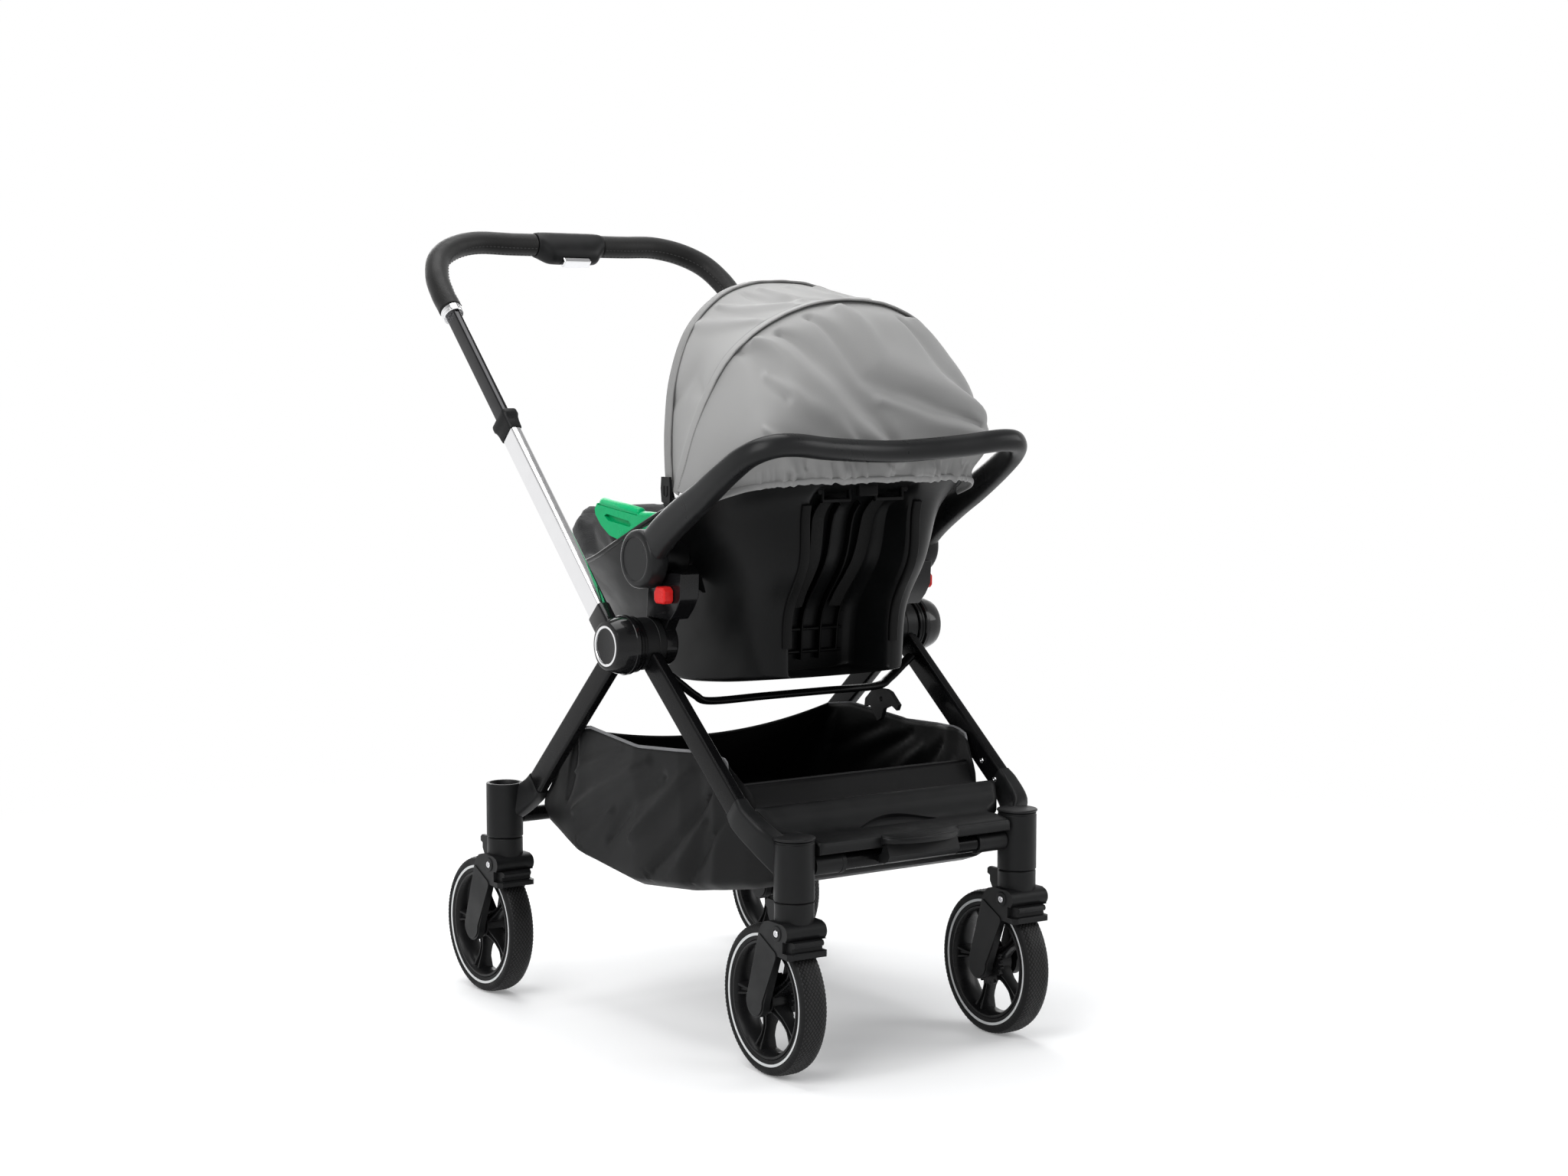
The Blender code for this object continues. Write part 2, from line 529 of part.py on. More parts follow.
# four swivel casters, each built round its own post axis with the wheel trailing
def rim_body():
    """Hub, five spokes and rim as one body from rings of cells about the axle."""
    radii = [0.0070, 0.0180, 0.0260, 0.0640, TYRE_SEAT_R - 0.0006]
    levels = [-0.0192, -0.0140, -0.0065, 0.0065, 0.0140, 0.0192]
    reach = [0.0192, 0.0140, 0.0065, 0.0140]
    sector = [-6.0, 6.0, 21.0, 36.0, 51.0]
    count = 5 * len(sector)

    def filled(ri, ai, li):
        if ri == 2 and ai % len(sector) != 0:
            return False
        return max(abs(levels[li]), abs(levels[li + 1])) <= reach[ri] + 1e-6

    bm = bmesh.new()
    made = {}

    def vert(ri, ai, li):
        key = (ri, ai % count, li)
        if key not in made:
            turn_deg = 72.0 * (ai // len(sector) % 5) + sector[ai % len(sector)]
            ang = math.radians(turn_deg)
            r = radii[ri]
            made[key] = bm.verts.new((levels[li], r * math.cos(ang), r * math.sin(ang)))
        return made[key]

    nr = len(radii) - 1
    nl = len(levels) - 1
    for ri in range(nr):
        for ai in range(count):
            for li in range(nl):
                if not filled(ri, ai, li):
                    continue
                for dr, da, dl in ((1, 0, 0), (-1, 0, 0), (0, 1, 0), (0, -1, 0), (0, 0, 1), (0, 0, -1)):
                    rr, aa, ll = ri + dr, (ai + da) % count, li + dl
                    if 0 <= rr < nr and 0 <= ll < nl and filled(rr, aa, ll):
                        continue
                    if dr:
                        r = ri + (1 if dr > 0 else 0)
                        quad = [(r, ai, li), (r, ai + 1, li), (r, ai + 1, li + 1), (r, ai, li + 1)]
                    elif da:
                        k = ai + (1 if da > 0 else 0)
                        quad = [(ri, k, li), (ri + 1, k, li), (ri + 1, k, li + 1), (ri, k, li + 1)]
                    else:
                        m = li + (1 if dl > 0 else 0)
                        quad = [(ri, ai, m), (ri + 1, ai, m), (ri + 1, ai + 1, m), (ri, ai + 1, m)]
                    bm.faces.new([vert(*q) for q in quad])
    return bm


SLOT_HALF = TYRE_HALF + 0.0012
ARM_OUT = 0.0290
AXLE_END_R = 0.0205
for key, s, end in CASTERS:
    swivel = key + "_swivel"
    # fork: side plates, crown and spring block cut from one silhouette
    outline = [(-0.0230, 0.2130), (0.0230, 0.2130), (0.0250, 0.2065), (0.0300, 0.2000),
               (0.0348, 0.1860), (TRAIL + AXLE_END_R, WHEEL_R)]
    for i in range(1, 8):
        ang = -math.pi * i / 8
        outline.append((TRAIL + AXLE_END_R * math.cos(ang), WHEEL_R + AXLE_END_R * math.sin(ang)))
    outline += [(TRAIL - AXLE_END_R, WHEEL_R), (-0.0040, 0.1610), (-0.0300, 0.1590), (-0.0346, 0.1640),
                (-0.0352, 0.1740), (-0.0325, 0.1760), (-0.0323, 0.1790), (-0.0350, 0.1810), (-0.0354, 0.1900),
                (-0.0328, 0.1920), (-0.0322, 0.1950), (-0.0342, 0.1970), (-0.0338, 0.2060), (-0.0270, 0.2110)]
    fork = put(key + "_fork", prism(outline, -ARM_OUT, ARM_OUT), "plastic", swivel, True)
    slot = lathe([(WHEEL_R + 0.0035, -SLOT_HALF), (WHEEL_R + 0.0035, SLOT_HALF)], (0, TRAIL, WHEEL_R), 36, False)
    combine(fork, tool(key + "_slot", slot, swivel, True), "DIFFERENCE")
    neck = disc_z([(POST_R - 0.0010, 0.2030), (POST_R - 0.0010, POST_SEAM - 0.0015), (POST_R - 0.0020, POST_SEAM - GAP)],
                  (0, 0, 0), 26)
    combine(fork, tool(key + "_neck", neck, swivel, True), "UNION")

    # swivel lock tab on the wheel side, just below the seam
    tab = block((-0.0070, 0.0254, 0.2072), (0.0070, 0.0315, 0.2190))
    put(key + "_lock_tab", tab, "gloss", swivel, True)

    wheel = key + "_wheel"
    ob = bpy.data.objects.new(wheel, None)
    ob.empty_display_size = 0.02
    ob.parent = PLACES[swivel][0]
    ob.location = (0.0, TRAIL, WHEEL_R)
    parts.objects.link(ob)
    PLACES[wheel] = (ob, Vector((0, 0, 0)))
    put(key + "_rim", rim_body(), "plastic", wheel, True)
    half = TYRE_HALF
    profile = [(TYRE_SEAT_R, -0.0150), (TYRE_SIDE_R - 0.0035, -half), (TYRE_SIDE_R, -half + 0.0006),
               (WHEEL_R - 0.0022, -half + 0.0058), (WHEEL_R, -half + 0.0120), (WHEEL_R, half - 0.0120),
               (WHEEL_R - 0.0022, half - 0.0058), (TYRE_SIDE_R, half - 0.0006), (TYRE_SIDE_R - 0.0035, half),
               (TYRE_SEAT_R, 0.0150)]
    # a flat of the 36-sided tyre meets the ground, as the contact patch does
    grow = 1 / math.cos(math.pi / 36)
    put(key + "_tyre", lathe([(r * grow, x) for r, x in profile], (0, 0, 0), 36, True, 0.5), "tyre", wheel, True)


# storage basket: a deep cloth tub hung between the legs, open at the top
BASKET_W = ((-0.268, 0.150), (-0.235, 0.168), (-0.200, 0.184), (-0.150, 0.2010), (-0.125, 0.2010), (-0.090, 0.211), (0.0, 0.221),
            (0.085, 0.2185), (0.115, 0.2172), (0.150, 0.2168), (0.165, 0.2150), (0.235, 0.190))
BASKET_LOW = ((-0.268, 0.242), (-0.200, 0.222), (-0.099, 0.206), (0.010, 0.198), (0.144, 0.212), (0.235, 0.237))
BASKET_RIM = ((-0.180, 0.351), (-0.172, 0.384), (-0.137, 0.390), (-0.012, 0.384), (0.111, 0.395), (0.165, 0.388))
# share of the height, near end, far end
BASKET_ENDS = ((0.0, -0.262, 0.222), (0.06, -0.268, 0.235), (0.45, -0.2238, 0.205), (0.78, -0.2150, 0.180),
               (1.0, -0.180, 0.165))


def basket_ring(t, inset, lift):
    y0 = table([(a, b) for a, b, c in BASKET_ENDS], t) + inset
    y1 = table([(a, c) for a, b, c in BASKET_ENDS], t) - inset
    side_pts = []
    for i in range(15):
        side_pts.append(y0 + (y1 - y0) * i / 14)
    narrow = 0.90 if t == 0.0 else 1.0
    ring = []

    def height(y, x):
        low = table(BASKET_LOW, y)
        share = (y - y0) / (y1 - y0)
        y_rim = -0.180 + (0.165 + 0.180) * share
        rim = table(BASKET_RIM, y_rim)
        w = table(BASKET_W, y)
        if share > 0.99:
            rim -= 0.028 * (1 - (x / w) ** 2)
        return low + (rim - low) * t + lift

    for y in side_pts:
        w = (table(BASKET_W, y) - inset) * narrow
        ring.append(Vector((w, y, height(y, w))))
    for i in range(1, 8):
        w = (table(BASKET_W, y1) - inset) * narrow
        x = w * (1 - 2 * i / 8)
        ring.append(Vector((x, y1, height(y1, x))))
    for y in reversed(side_pts):
        w = (table(BASKET_W, y) - inset) * narrow
        ring.append(Vector((-w, y, height(y, w))))
    for i in range(1, 8):
        w = (table(BASKET_W, y0) - inset) * narrow
        x = -w * (1 - 2 * i / 8)
        ring.append(Vector((x, y0, height(y0, x))))
    return ring


def strip_cap(bm, row, flip):
    """Close a ring whose halves face each other with a ladder of quads."""
    count = len(row)
    n = 15
    right = row[:n]
    left = [row[(n + 7 + n - 1 - i)] for i in range(n)]
    faces = []
    for i in range(n - 1):
        quad = (right[i], right[i + 1], left[i + 1], left[i])
        faces.append(bm.faces.new(quad if flip else quad[::-1]))
    near = [left[0]] + [row[(n + 7 + n + k) % count] for k in range(7)] + [right[0]]
    far = [right[-1]] + [row[n + k] for k in range(7)] + [left[-1]]
    for edge in (near, far):
        faces.append(bm.faces.new(edge if flip else edge[::-1]))
    bmesh.ops.triangulate(bm, faces=faces, quad_method="BEAUTY", ngon_method="BEAUTY")


def open_tub(outer, inner, cap, floor=None):
    """Closed wall of an open tub: outer rings bottom to rim, inner rings rim to floor."""
    bm = bmesh.new()
    rows = [[bm.verts.new(p) for p in ring] for ring in outer + inner]
    count = len(rows[0])
    for level, (a, b) in enumerate(zip(rows, rows[1:])):
        for j in range(count):
            k = (j + 1) % count
            if level < len(outer):
                bm.faces.new((a[j], a[k], b[j]))
                bm.faces.new((a[k], b[k], b[j]))
            else:
                bm.faces.new((a[j], a[k], b[k]))
                bm.faces.new((a[j], b[k], b[j]))
    cap(bm, rows[0], True)
    (floor or cap)(bm, rows[-1], False)
    return bm


outer = [basket_ring(t, 0.0, 0.0) for t in (0.0, 0.06, 0.25, 0.45, 0.78, 1.0)]
inner = [basket_ring(t, 0.0035, 0.0035 if t < 1.0 else 0.0) for t in (1.0, 0.78, 0.45, 0.25, 0.06, 0.0)]
put("basket", open_tub(outer, inner, strip_cap), "basket_cloth", "chassis")


# carrier shell: two rear legs with a recess between them, flared side walls and a rim
RIM = ((0, -0.235), (0.055, -0.234), (0.074, -0.233), (0.079, -0.2325), (0.100, -0.230), (0.130, -0.222),
       (0.165, -0.200), (0.188, -0.160), (0.195, -0.100), (0.195, -0.030), (0.193, 0.080), (0.185, 0.160),
       (0.163, 0.240), (0.145, 0.290), (0.120, 0.335), (0.080, 0.365), (0, 0.372))
BASE = ((0, -0.150), (0.055, -0.150), (0.072, -0.150), (0.077, -0.150), (0.085, -0.152), (0.100, -0.150),
        (0.113, -0.138), (0.117, -0.110), (0.118, -0.060), (0.118, -0.010), (0.117, 0.060), (0.112, 0.130),
        (0.102, 0.200), (0.092, 0.245), (0.075, 0.280), (0.050, 0.300), (0, 0.307))
SHELL_LOW = ((-0.150, 0.475), (-0.050, 0.462), (0.049, 0.453), (0.150, 0.468), (0.250, 0.505), (0.310, 0.532))
SHELL_RIM = ((-0.235, 0.742), (-0.200, 0.735), (-0.160, 0.715), (-0.100, 0.702), (-0.050, 0.6945), (0.0, 0.675),
             (0.076, 0.645), (0.161, 0.615), (0.250, 0.600), (0.372, 0.600))
FLARE_X = ((0.0, 0.0), (0.3, 0.10), (0.42, 0.17), (0.55, 0.28), (0.85, 0.68), (1.0, 1.0))
FLARE_BACK = ((0.0, 0.0), (0.3, 0.0), (0.42, 0.19), (0.55, 0.53), (0.85, 0.55), (1.0, 1.0))
RECESS = ((0.0, 0.075), (0.3, 0.070), (0.42, 0.062), (0.55, 0.060), (0.85, 0.045), (0.93, 0.0))
WALL = 0.007


def shell_ring(t, inset, notch, floor=0.0):
    """One outline of the shell at height share t, pulled inward by inset."""
    half = []
    fx = table(FLARE_X, t)
    fb = table(FLARE_BACK, t)
    for i, ((xr, yr), (xb, yb)) in enumerate(zip(RIM, BASE)):
        back = min(1.0, max(0.0, -yb / 0.12))
        fy = fb * back + t * (1 - back)
        x = xb + (xr - xb) * fx
        y = yb + (yr - yb) * fy
        low = table(SHELL_LOW, yb)
        z = low + (table(SHELL_RIM, yr) - low) * t + floor
        if notch and i < 3:
            y += table(RECESS, t)
        half.append([x, y, z])
    if inset > 0.0:
        depth = 0.0 if notch else max(table(RECESS, t), 0.0)
        mid = 0.05
        for i, p in enumerate(half):
            p[0] = max(p[0] - inset, 0.0) if i < 15 else min(p[0] * 0.94, half[14][0] * 0.7)
            if p[1] < mid:
                share = min(1.0, (mid - p[1]) / (mid + 0.15))
                p[1] += inset * share
            else:
                share = min(1.0, (p[1] - mid) / 0.22)
                p[1] -= inset * share
            if i < 6:
                p[1] = max(p[1], half[0][1] + 0.0)
        if depth > 0.0:
            y_back = table(((0.0, -0.150), (0.3, -0.150), (0.42, -0.166), (0.55, -0.195), (0.85, -0.197),
                            (1.0, -0.235)), t) + depth + inset + 0.002
            for i, p in enumerate(half):
                p[1] = max(p[1], y_back + i * 0.0006)
    ring = [Vector(p) for p in half]
    ring += [Vector((-p[0], p[1], p[2])) for p in half[15:0:-1]]
    return ring


def shell_cap(bm, row, flip):
    face = bm.faces.new(row if flip else row[::-1])
    bmesh.ops.triangulate(bm, faces=[face], quad_method="BEAUTY", ngon_method="BEAUTY")


def floor_cap(bm, row, flip):
    """Close a shell outline with strips that run straight across."""
    for i in range(16):
        if i == 0:
            face = [row[0], row[1], row[31]]
        elif i == 15:
            face = [row[15], row[16], row[17]]
        else:
            face = [row[i], row[i + 1], row[32 - i]]
            other = [row[i + 1], row[31 - i], row[32 - i]]
            bm.faces.new(other if flip else other[::-1])
        bm.faces.new(face if flip else face[::-1])


outer = [shell_ring(t, 0.0, True) for t in (0.0, 0.15, 0.3, 0.42, 0.55, 0.70, 0.85, 0.93, 1.0)]
inner = [shell_ring(t, WALL, False) for t in (1.0, 0.93, 0.85, 0.70, 0.55, 0.42, 0.30, 0.20)]
shell = put("carrier_shell", open_tub(outer, inner, shell_cap, floor_cap), "plastic", "carrier")
for side, s in SIDES:
    rings = [[], []]
    for i in range(24):
        ang = 2 * math.pi * i / 24
        y = PIVOT_Y + 0.0215 * math.cos(ang)
        z = PIVOT_Z + 0.0215 * math.sin(ang)
        rings[0].append(Vector((s * (0.1560 + 0.465 * (z - PIVOT_Z)), y, z)))
        rings[1].append(Vector((s * (DISC_IN - GAP), y, z)))
    boss = loft(rings)
    combine(shell, tool("shell_boss_" + side, boss, "carrier"), "UNION")

# seat liner: padding inside the shell, with a rolled edge and a raised foot end
def liner_ring(t, inset, lift, swell=0.0):
    ring = shell_ring(t, WALL + inset, False)
    out = []
    for p in ring:
        foot = min(1.0, max(0.0, (p.y - 0.270) / 0.06))
        x = max(-0.1720, min(0.1720, p.x))
        y = p.y + 0.007 * min(1.0, max(0.0, (-0.04 - p.y) / 0.03))
        rise = lift * min(1.0, max(0.45, (p.y + 0.22) / 0.12))
        out.append(Vector((x, y, p.z + rise + swell * foot)))
    return out


outer = [liner_ring(t, 0.0026, 0.0) for t in (0.2, 0.30, 0.42, 0.55, 0.70, 0.85, 0.93)]
for ring in outer[:1]:
    for p in ring:
        p.z += 0.0010
outer.append(liner_ring(1.0, 0.0030, 0.006, 0.050))
outer.append(liner_ring(1.0, 0.0080, 0.012, 0.072))
inner = [liner_ring(1.0, 0.0170, 0.012, 0.070), liner_ring(1.0, 0.0260, 0.002, 0.050), liner_ring(0.85, 0.0320, 0.0, 0.010),
         liner_ring(0.70, 0.0340, 0.0), liner_ring(0.55, 0.0350, 0.0), liner_ring(0.42, 0.0360, 0.006)]
put("seat_liner", open_tub(outer, inner, floor_cap), "liner_cloth", "carrier")

# green belt guides on the side rims
for side, s in SIDES:
    rings = []
    for y, z, h in ((0.004, 0.6848, 0.010), (0.014, 0.6848, 0.020), (0.040, 0.6788, 0.024), (0.090, 0.6628, 0.026),
                    (0.125, 0.6548, 0.028), (0.142, 0.6528, 0.026), (0.150, 0.6468, 0.012)):
        c = Vector((s * 0.1840, y, z))
        rings.append([c + Vector((u, 0, v)) for u, v in rounded(0.016, h, 0.004, 2)])
    foot_pts = [(0.030, 0.6760), (0.110, 0.6560), (0.110, 0.6342), (0.076, 0.6460), (0.030, 0.6648)]
    guide = put("belt_guide_" + side, loft(rings), "green", "carrier")
    foot = prism(foot_pts, *sorted((s * 0.1885, s * 0.1915)))
    combine(guide, tool("guide_foot_" + side, foot, "carrier"), "UNION")

# red release buttons on the carrier posts
for side, s in SIDES:
    x0, x1 = sorted((s * 0.2033, s * 0.2180))
    outline = [(-0.0700, 0.5760), (-0.0660, 0.5720), (-0.0490, 0.5720), (-0.0450, 0.5760), (-0.0450, 0.5870),
               (-0.0500, 0.5940), (-0.0640, 0.5940), (-0.0700, 0.5890)]
    put("release_button_" + side, prism(outline, x0, x1), "red", "chassis")

# carrier handle: two discs, flat arms and a round bar behind the hood
ARM_X = 0.2200
arm_pts = [(ARM_X, PIVOT_Y - 0.012, PIVOT_Z + 0.010), (ARM_X, -0.075, 0.6650), (ARM_X, -0.120, 0.6920),
           (ARM_X, -0.158, 0.7120), (0.2190, -0.205, 0.7400), (0.2120, -0.245, 0.7640), (0.1930, -0.2680, 0.7760),
           (0.1600, -0.2730, 0.7780), (0.1000, -0.2680, 0.7720), (0.0, -0.2600, 0.7670)]
full = [Vector(p) for p in arm_pts] + [Vector((-x, y, z)) for x, y, z in arm_pts[-2::-1]]
path = smooth_path(full, 2)


def bar_rings():
    rings = []
    n = len(path)
    for i, p in enumerate(path):
        t = min(i, n - 1 - i) / (n - 1)
        tan = (path[min(i + 1, n - 1)] - path[max(i - 1, 0)]).normalized()
        up = Vector((0, 0.515, 0.857))
        up = (up - tan * up.dot(tan)).normalized()
        out = tan.cross(up)
        flat = table(((0.0, 0.0130), (0.30, 0.0130), (0.36, 0.0140), (0.5, 0.0140)), t)
        deep = table(((0.0, 0.0230), (0.12, 0.0200), (0.28, 0.0150), (0.5, 0.0140)), t)
        rings.append([p + out * (flat * math.cos(2 * math.pi * j / 12)) + up * (deep * math.sin(2 * math.pi * j / 12))
                      for j in range(12)])
    return rings


handle = put("carrier_handle", loft(bar_rings()), "plastic", "carrier_pivot")
for side, s in SIDES:
    disc = [(0.0350, DISC_IN), (PIVOT_DISC_R, DISC_IN + 0.003), (PIVOT_DISC_R, DISC_OUT - 0.004),
            (PIVOT_DISC_R - 0.003, DISC_OUT)]
    combine(handle, tool("pivot_disc_" + side, lathe([(r, s * x) for r, x in disc], (0, PIVOT_Y, PIVOT_Z), 28, False),
                         "carrier_pivot"), "UNION")


# hood: ribs given as half curves from the side base up to the middle
FRONT_RIB = ((0.1970, -0.045, 0.7150), (0.1965, -0.040, 0.750), (0.1930, -0.035, 0.800), (0.1800, -0.027, 0.860),
             (0.1500, -0.018, 0.920), (0.1000, -0.010, 0.963), (0.0500, -0.006, 0.981), (0.0, -0.005, 0.985))
FRONT_MID = ((0.1972, -0.050, 0.7150), (0.1960, -0.058, 0.750), (0.1905, -0.064, 0.800), (0.1790, -0.070, 0.855),
             (0.1540, -0.077, 0.906), (0.1110, -0.082, 0.944), (0.0560, -0.084, 0.966), (0.0, -0.085, 0.972))
MID_RIB = ((0.1978, -0.060, 0.7150), (0.1970, -0.077, 0.750), (0.1930, -0.097, 0.800), (0.1835, -0.119, 0.848),
           (0.1650, -0.138, 0.890), (0.1250, -0.153, 0.926), (0.0650, -0.162, 0.951), (0.0, -0.165, 0.958))
REAR_1 = ((0.1980, -0.090, 0.7130), (0.1978, -0.110, 0.745), (0.1945, -0.135, 0.787), (0.1865, -0.158, 0.833),
          (0.1690, -0.178, 0.873), (0.1300, -0.192, 0.903), (0.0700, -0.200, 0.924), (0.0, -0.203, 0.931))
REAR_2 = ((0.1980, -0.120, 0.7145), (0.1978, -0.140, 0.737), (0.1950, -0.165, 0.768), (0.1875, -0.190, 0.800),
          (0.1710, -0.211, 0.830), (0.1300, -0.225, 0.850), (0.0700, -0.231, 0.862), (0.0, -0.233, 0.866))
REAR_3 = ((0.1975, -0.136, 0.7165), (0.1965, -0.153, 0.730), (0.1930, -0.178, 0.751), (0.1845, -0.204, 0.771),
          (0.1660, -0.222, 0.788), (0.1250, -0.232, 0.800), (0.0700, -0.2355, 0.808), (0.0, -0.2370, 0.812))
HEM = ((0.1965, -0.145, 0.7165), (0.1935, -0.160, 0.7205), (0.1870, -0.177, 0.7275), (0.1755, -0.193, 0.7345),
       (0.1540, -0.2085, 0.7395), (0.1150, -0.2200, 0.7430), (0.0600, -0.2250, 0.7445), (0.0, -0.2265, 0.7450))


def arch(half):
    """Full arch from the right side over the top to the left side."""
    right = [Vector((-x, y, z)) for x, y, z in half]
    left = [Vector(p) for p in half[-2::-1]]
    return smooth_path(right + left, 2)


def slab(grid, thick):
    """Closed sheet of the given thickness, grid on its outside."""
    nu = len(grid)
    nv = len(grid[0])
    bm = bmesh.new()
    top = []
    low = []
    for i in range(nu):
        top.append([])
        low.append([])
        for j in range(nv):
            du = grid[min(i + 1, nu - 1)][j] - grid[max(i - 1, 0)][j]
            dv = grid[i][min(j + 1, nv - 1)] - grid[i][max(j - 1, 0)]
            n = du.cross(dv).normalized()
            p = grid[i][j]
            if n.dot(p - Vector((0, -0.09, 0.76))) < 0:
                n = -n
            top[i].append(bm.verts.new(p))
            low[i].append(bm.verts.new(p - n * thick))
    for i in range(nu - 1):
        for j in range(nv - 1):
            bm.faces.new((top[i][j], top[i + 1][j], top[i + 1][j + 1], top[i][j + 1]))
            bm.faces.new((low[i][j], low[i][j + 1], low[i + 1][j + 1], low[i + 1][j]))
    for i in range(nu - 1):
        for j in (0, nv - 1):
            bm.faces.new((top[i][j], top[i + 1][j], low[i + 1][j], low[i][j]))
    for j in range(nv - 1):
        for i in (0, nu - 1):
            bm.faces.new((top[i][j], top[i][j + 1], low[i][j + 1], low[i][j]))
    return bm


def between(a, b, t):
    return [p.lerp(q, t) for p, q in zip(a, b)]


front, front_mid, mid_arch = arch(FRONT_RIB), arch(FRONT_MID), arch(MID_RIB)
rear = [mid_arch, arch(REAR_1), arch(REAR_2), arch(REAR_3), arch(HEM)]
panel = [front, between(front, front_mid, 0.5), front_mid, between(front_mid, mid_arch, 0.5),
         between(front_mid, mid_arch, 0.985)]
put("hood_front", slab(panel, CLOTH), "hood_cloth", "hood_axis")
panel = [between(rear[0], rear[1], 0.03)]
for a, b in zip(rear, rear[1:]):
    panel += [between(a, b, 0.5), b]
put("hood_rear", slab(panel, CLOTH), "hood_cloth", "hood_mid_axis")


def bow(arch_pts, r, reach):
    """Slim bow just inside a rib of the hood; reach adds a last step down to the pivot."""
    shrink = 0.9685
    c = Vector((0, HOOD_Y, HOOD_Z))
    pts = []
    for p in arch_pts:
        q = c + (p - c) * shrink
        q.x = p.x * shrink
        pts.append(q)
    if reach:
        first = Vector((pts[0].x, HOOD_Y + 0.001, HOOD_Z + 0.001))
        last = Vector((pts[-1].x, HOOD_Y + 0.001, HOOD_Z + 0.001))
        pts = [first] + pts + [last]
    return tube(pts, oval(r, r, 8), (0, 1, 0))


hoop = put("front_hoop", bow(front, 0.0028, True), "plastic", "hood_axis")
for side, s in SIDES:
    clip = lathe([(0.0060, s * 0.1855), (0.0065, s * 0.1860), (0.0065, s * 0.2030), (0.0060, s * 0.2035)],
                 (0, HOOD_Y, HOOD_Z), 20, False)
    combine(hoop, tool("hood_clip_" + side, clip, "hood_axis"), "UNION")
    tab = prism([(HOOD_Y - 0.008, HOOD_Z), (HOOD_Y + 0.008, HOOD_Z), (HOOD_Y + 0.008, 0.7300), (HOOD_Y - 0.008, 0.7300)],
                *sorted((s * 0.1995, s * 0.2035)))
    combine(hoop, tool("hood_tab_" + side, tab, "hood_axis"), "UNION")
put("mid_hoop", bow(mid_arch, 0.0028, False), "plastic", "hood_mid_axis")
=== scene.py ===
# Travel system pushchair with an infant carrier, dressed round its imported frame.
# Sizes are metres in chassis coordinates: x 0 on the centre plane, y 0 midway between
# the swivel posts and z 0 on the ground. SHIFT moves a finished mesh into the row frame.
import math

import bmesh
import bpy
from mathutils import Matrix, Vector, noise
from mathutils.bvhtree import BVHTree


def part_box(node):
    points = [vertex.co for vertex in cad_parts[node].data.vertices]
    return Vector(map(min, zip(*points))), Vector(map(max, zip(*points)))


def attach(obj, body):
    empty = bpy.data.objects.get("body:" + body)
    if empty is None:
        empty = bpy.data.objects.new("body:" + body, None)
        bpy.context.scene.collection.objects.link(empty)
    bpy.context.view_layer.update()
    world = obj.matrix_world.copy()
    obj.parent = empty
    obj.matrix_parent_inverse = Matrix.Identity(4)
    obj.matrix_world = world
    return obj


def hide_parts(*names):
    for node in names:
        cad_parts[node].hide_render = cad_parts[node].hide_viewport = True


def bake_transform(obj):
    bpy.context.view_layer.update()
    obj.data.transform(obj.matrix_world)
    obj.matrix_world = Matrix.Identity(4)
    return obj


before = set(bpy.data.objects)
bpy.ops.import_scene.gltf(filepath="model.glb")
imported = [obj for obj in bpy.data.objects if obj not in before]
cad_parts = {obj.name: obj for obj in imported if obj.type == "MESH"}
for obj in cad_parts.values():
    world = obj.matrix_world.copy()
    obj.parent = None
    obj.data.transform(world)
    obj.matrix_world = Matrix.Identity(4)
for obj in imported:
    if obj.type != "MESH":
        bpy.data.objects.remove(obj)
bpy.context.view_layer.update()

# Camera and room
# A seamless white studio floor, lit by large soft boxes. The camera stands at
# the photograph's place: behind the carrier, to its right, a little above the hubs.
HUB_Y = -0.0019
HUB_Z = 0.5159
hub_lo, hub_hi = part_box("hub_core_right")
SHIFT = (hub_lo.y + hub_hi.y) / 2 - HUB_Y
CAMERA_AT = Vector((-2.032, -2.865 + SHIFT, 0.879))
CAMERA_TARGET = Vector((0.0678, 0.0686 + SHIFT, 0.5693))
LENS_MM = 60.57
scene = bpy.context.scene
scene.view_settings.view_transform = "Standard"


def point_at(ob, at, target):
    ob.location = at
    ob.rotation_euler = (Vector(target) - Vector(at)).to_track_quat("-Z", "Y").to_euler()
    scene.collection.objects.link(ob)


camera = bpy.data.objects.new("camera", bpy.data.cameras.new("camera"))
camera.data.lens = LENS_MM
camera.data.clip_start = 0.05
point_at(camera, CAMERA_AT, CAMERA_TARGET)
scene.camera = camera


def softbox(name, at, size, watts):
    lamp = bpy.data.lights.new(name, "AREA")
    lamp.shape = "SQUARE"
    lamp.size = size
    lamp.energy = watts
    point_at(bpy.data.objects.new(name, lamp), at, (0, 0, 0.5))


softbox("key_box", (-2.6, -1.2, 2.6), 2.2, 75)
softbox("top_box", (0.0, 0.4, 3.2), 2.2, 62)
softbox("right_box", (2.8, -1.9, 1.9), 1.8, 34)
softbox("back_box", (0.9, 3.0, 1.9), 2.0, 42)


def node(tree, kind, **values):
    """A node; small-letter keywords are its options, the others its sockets, with _ for a space."""
    made = tree.nodes.new(kind)
    for key, value in values.items():
        if key.islower():
            setattr(made, key, value)
        else:
            made.inputs[key.replace("_", " ")].default_value = value
    return made


def wire(tree, *runs):
    """Links sockets: a run is a node or its name and an output, then a node or its name and an input."""
    for source, out, target, into in runs:
        source = tree.nodes[source] if isinstance(source, str) else source
        target = tree.nodes[target] if isinstance(target, str) else target
        tree.links.new(source.outputs[out], target.inputs[into])


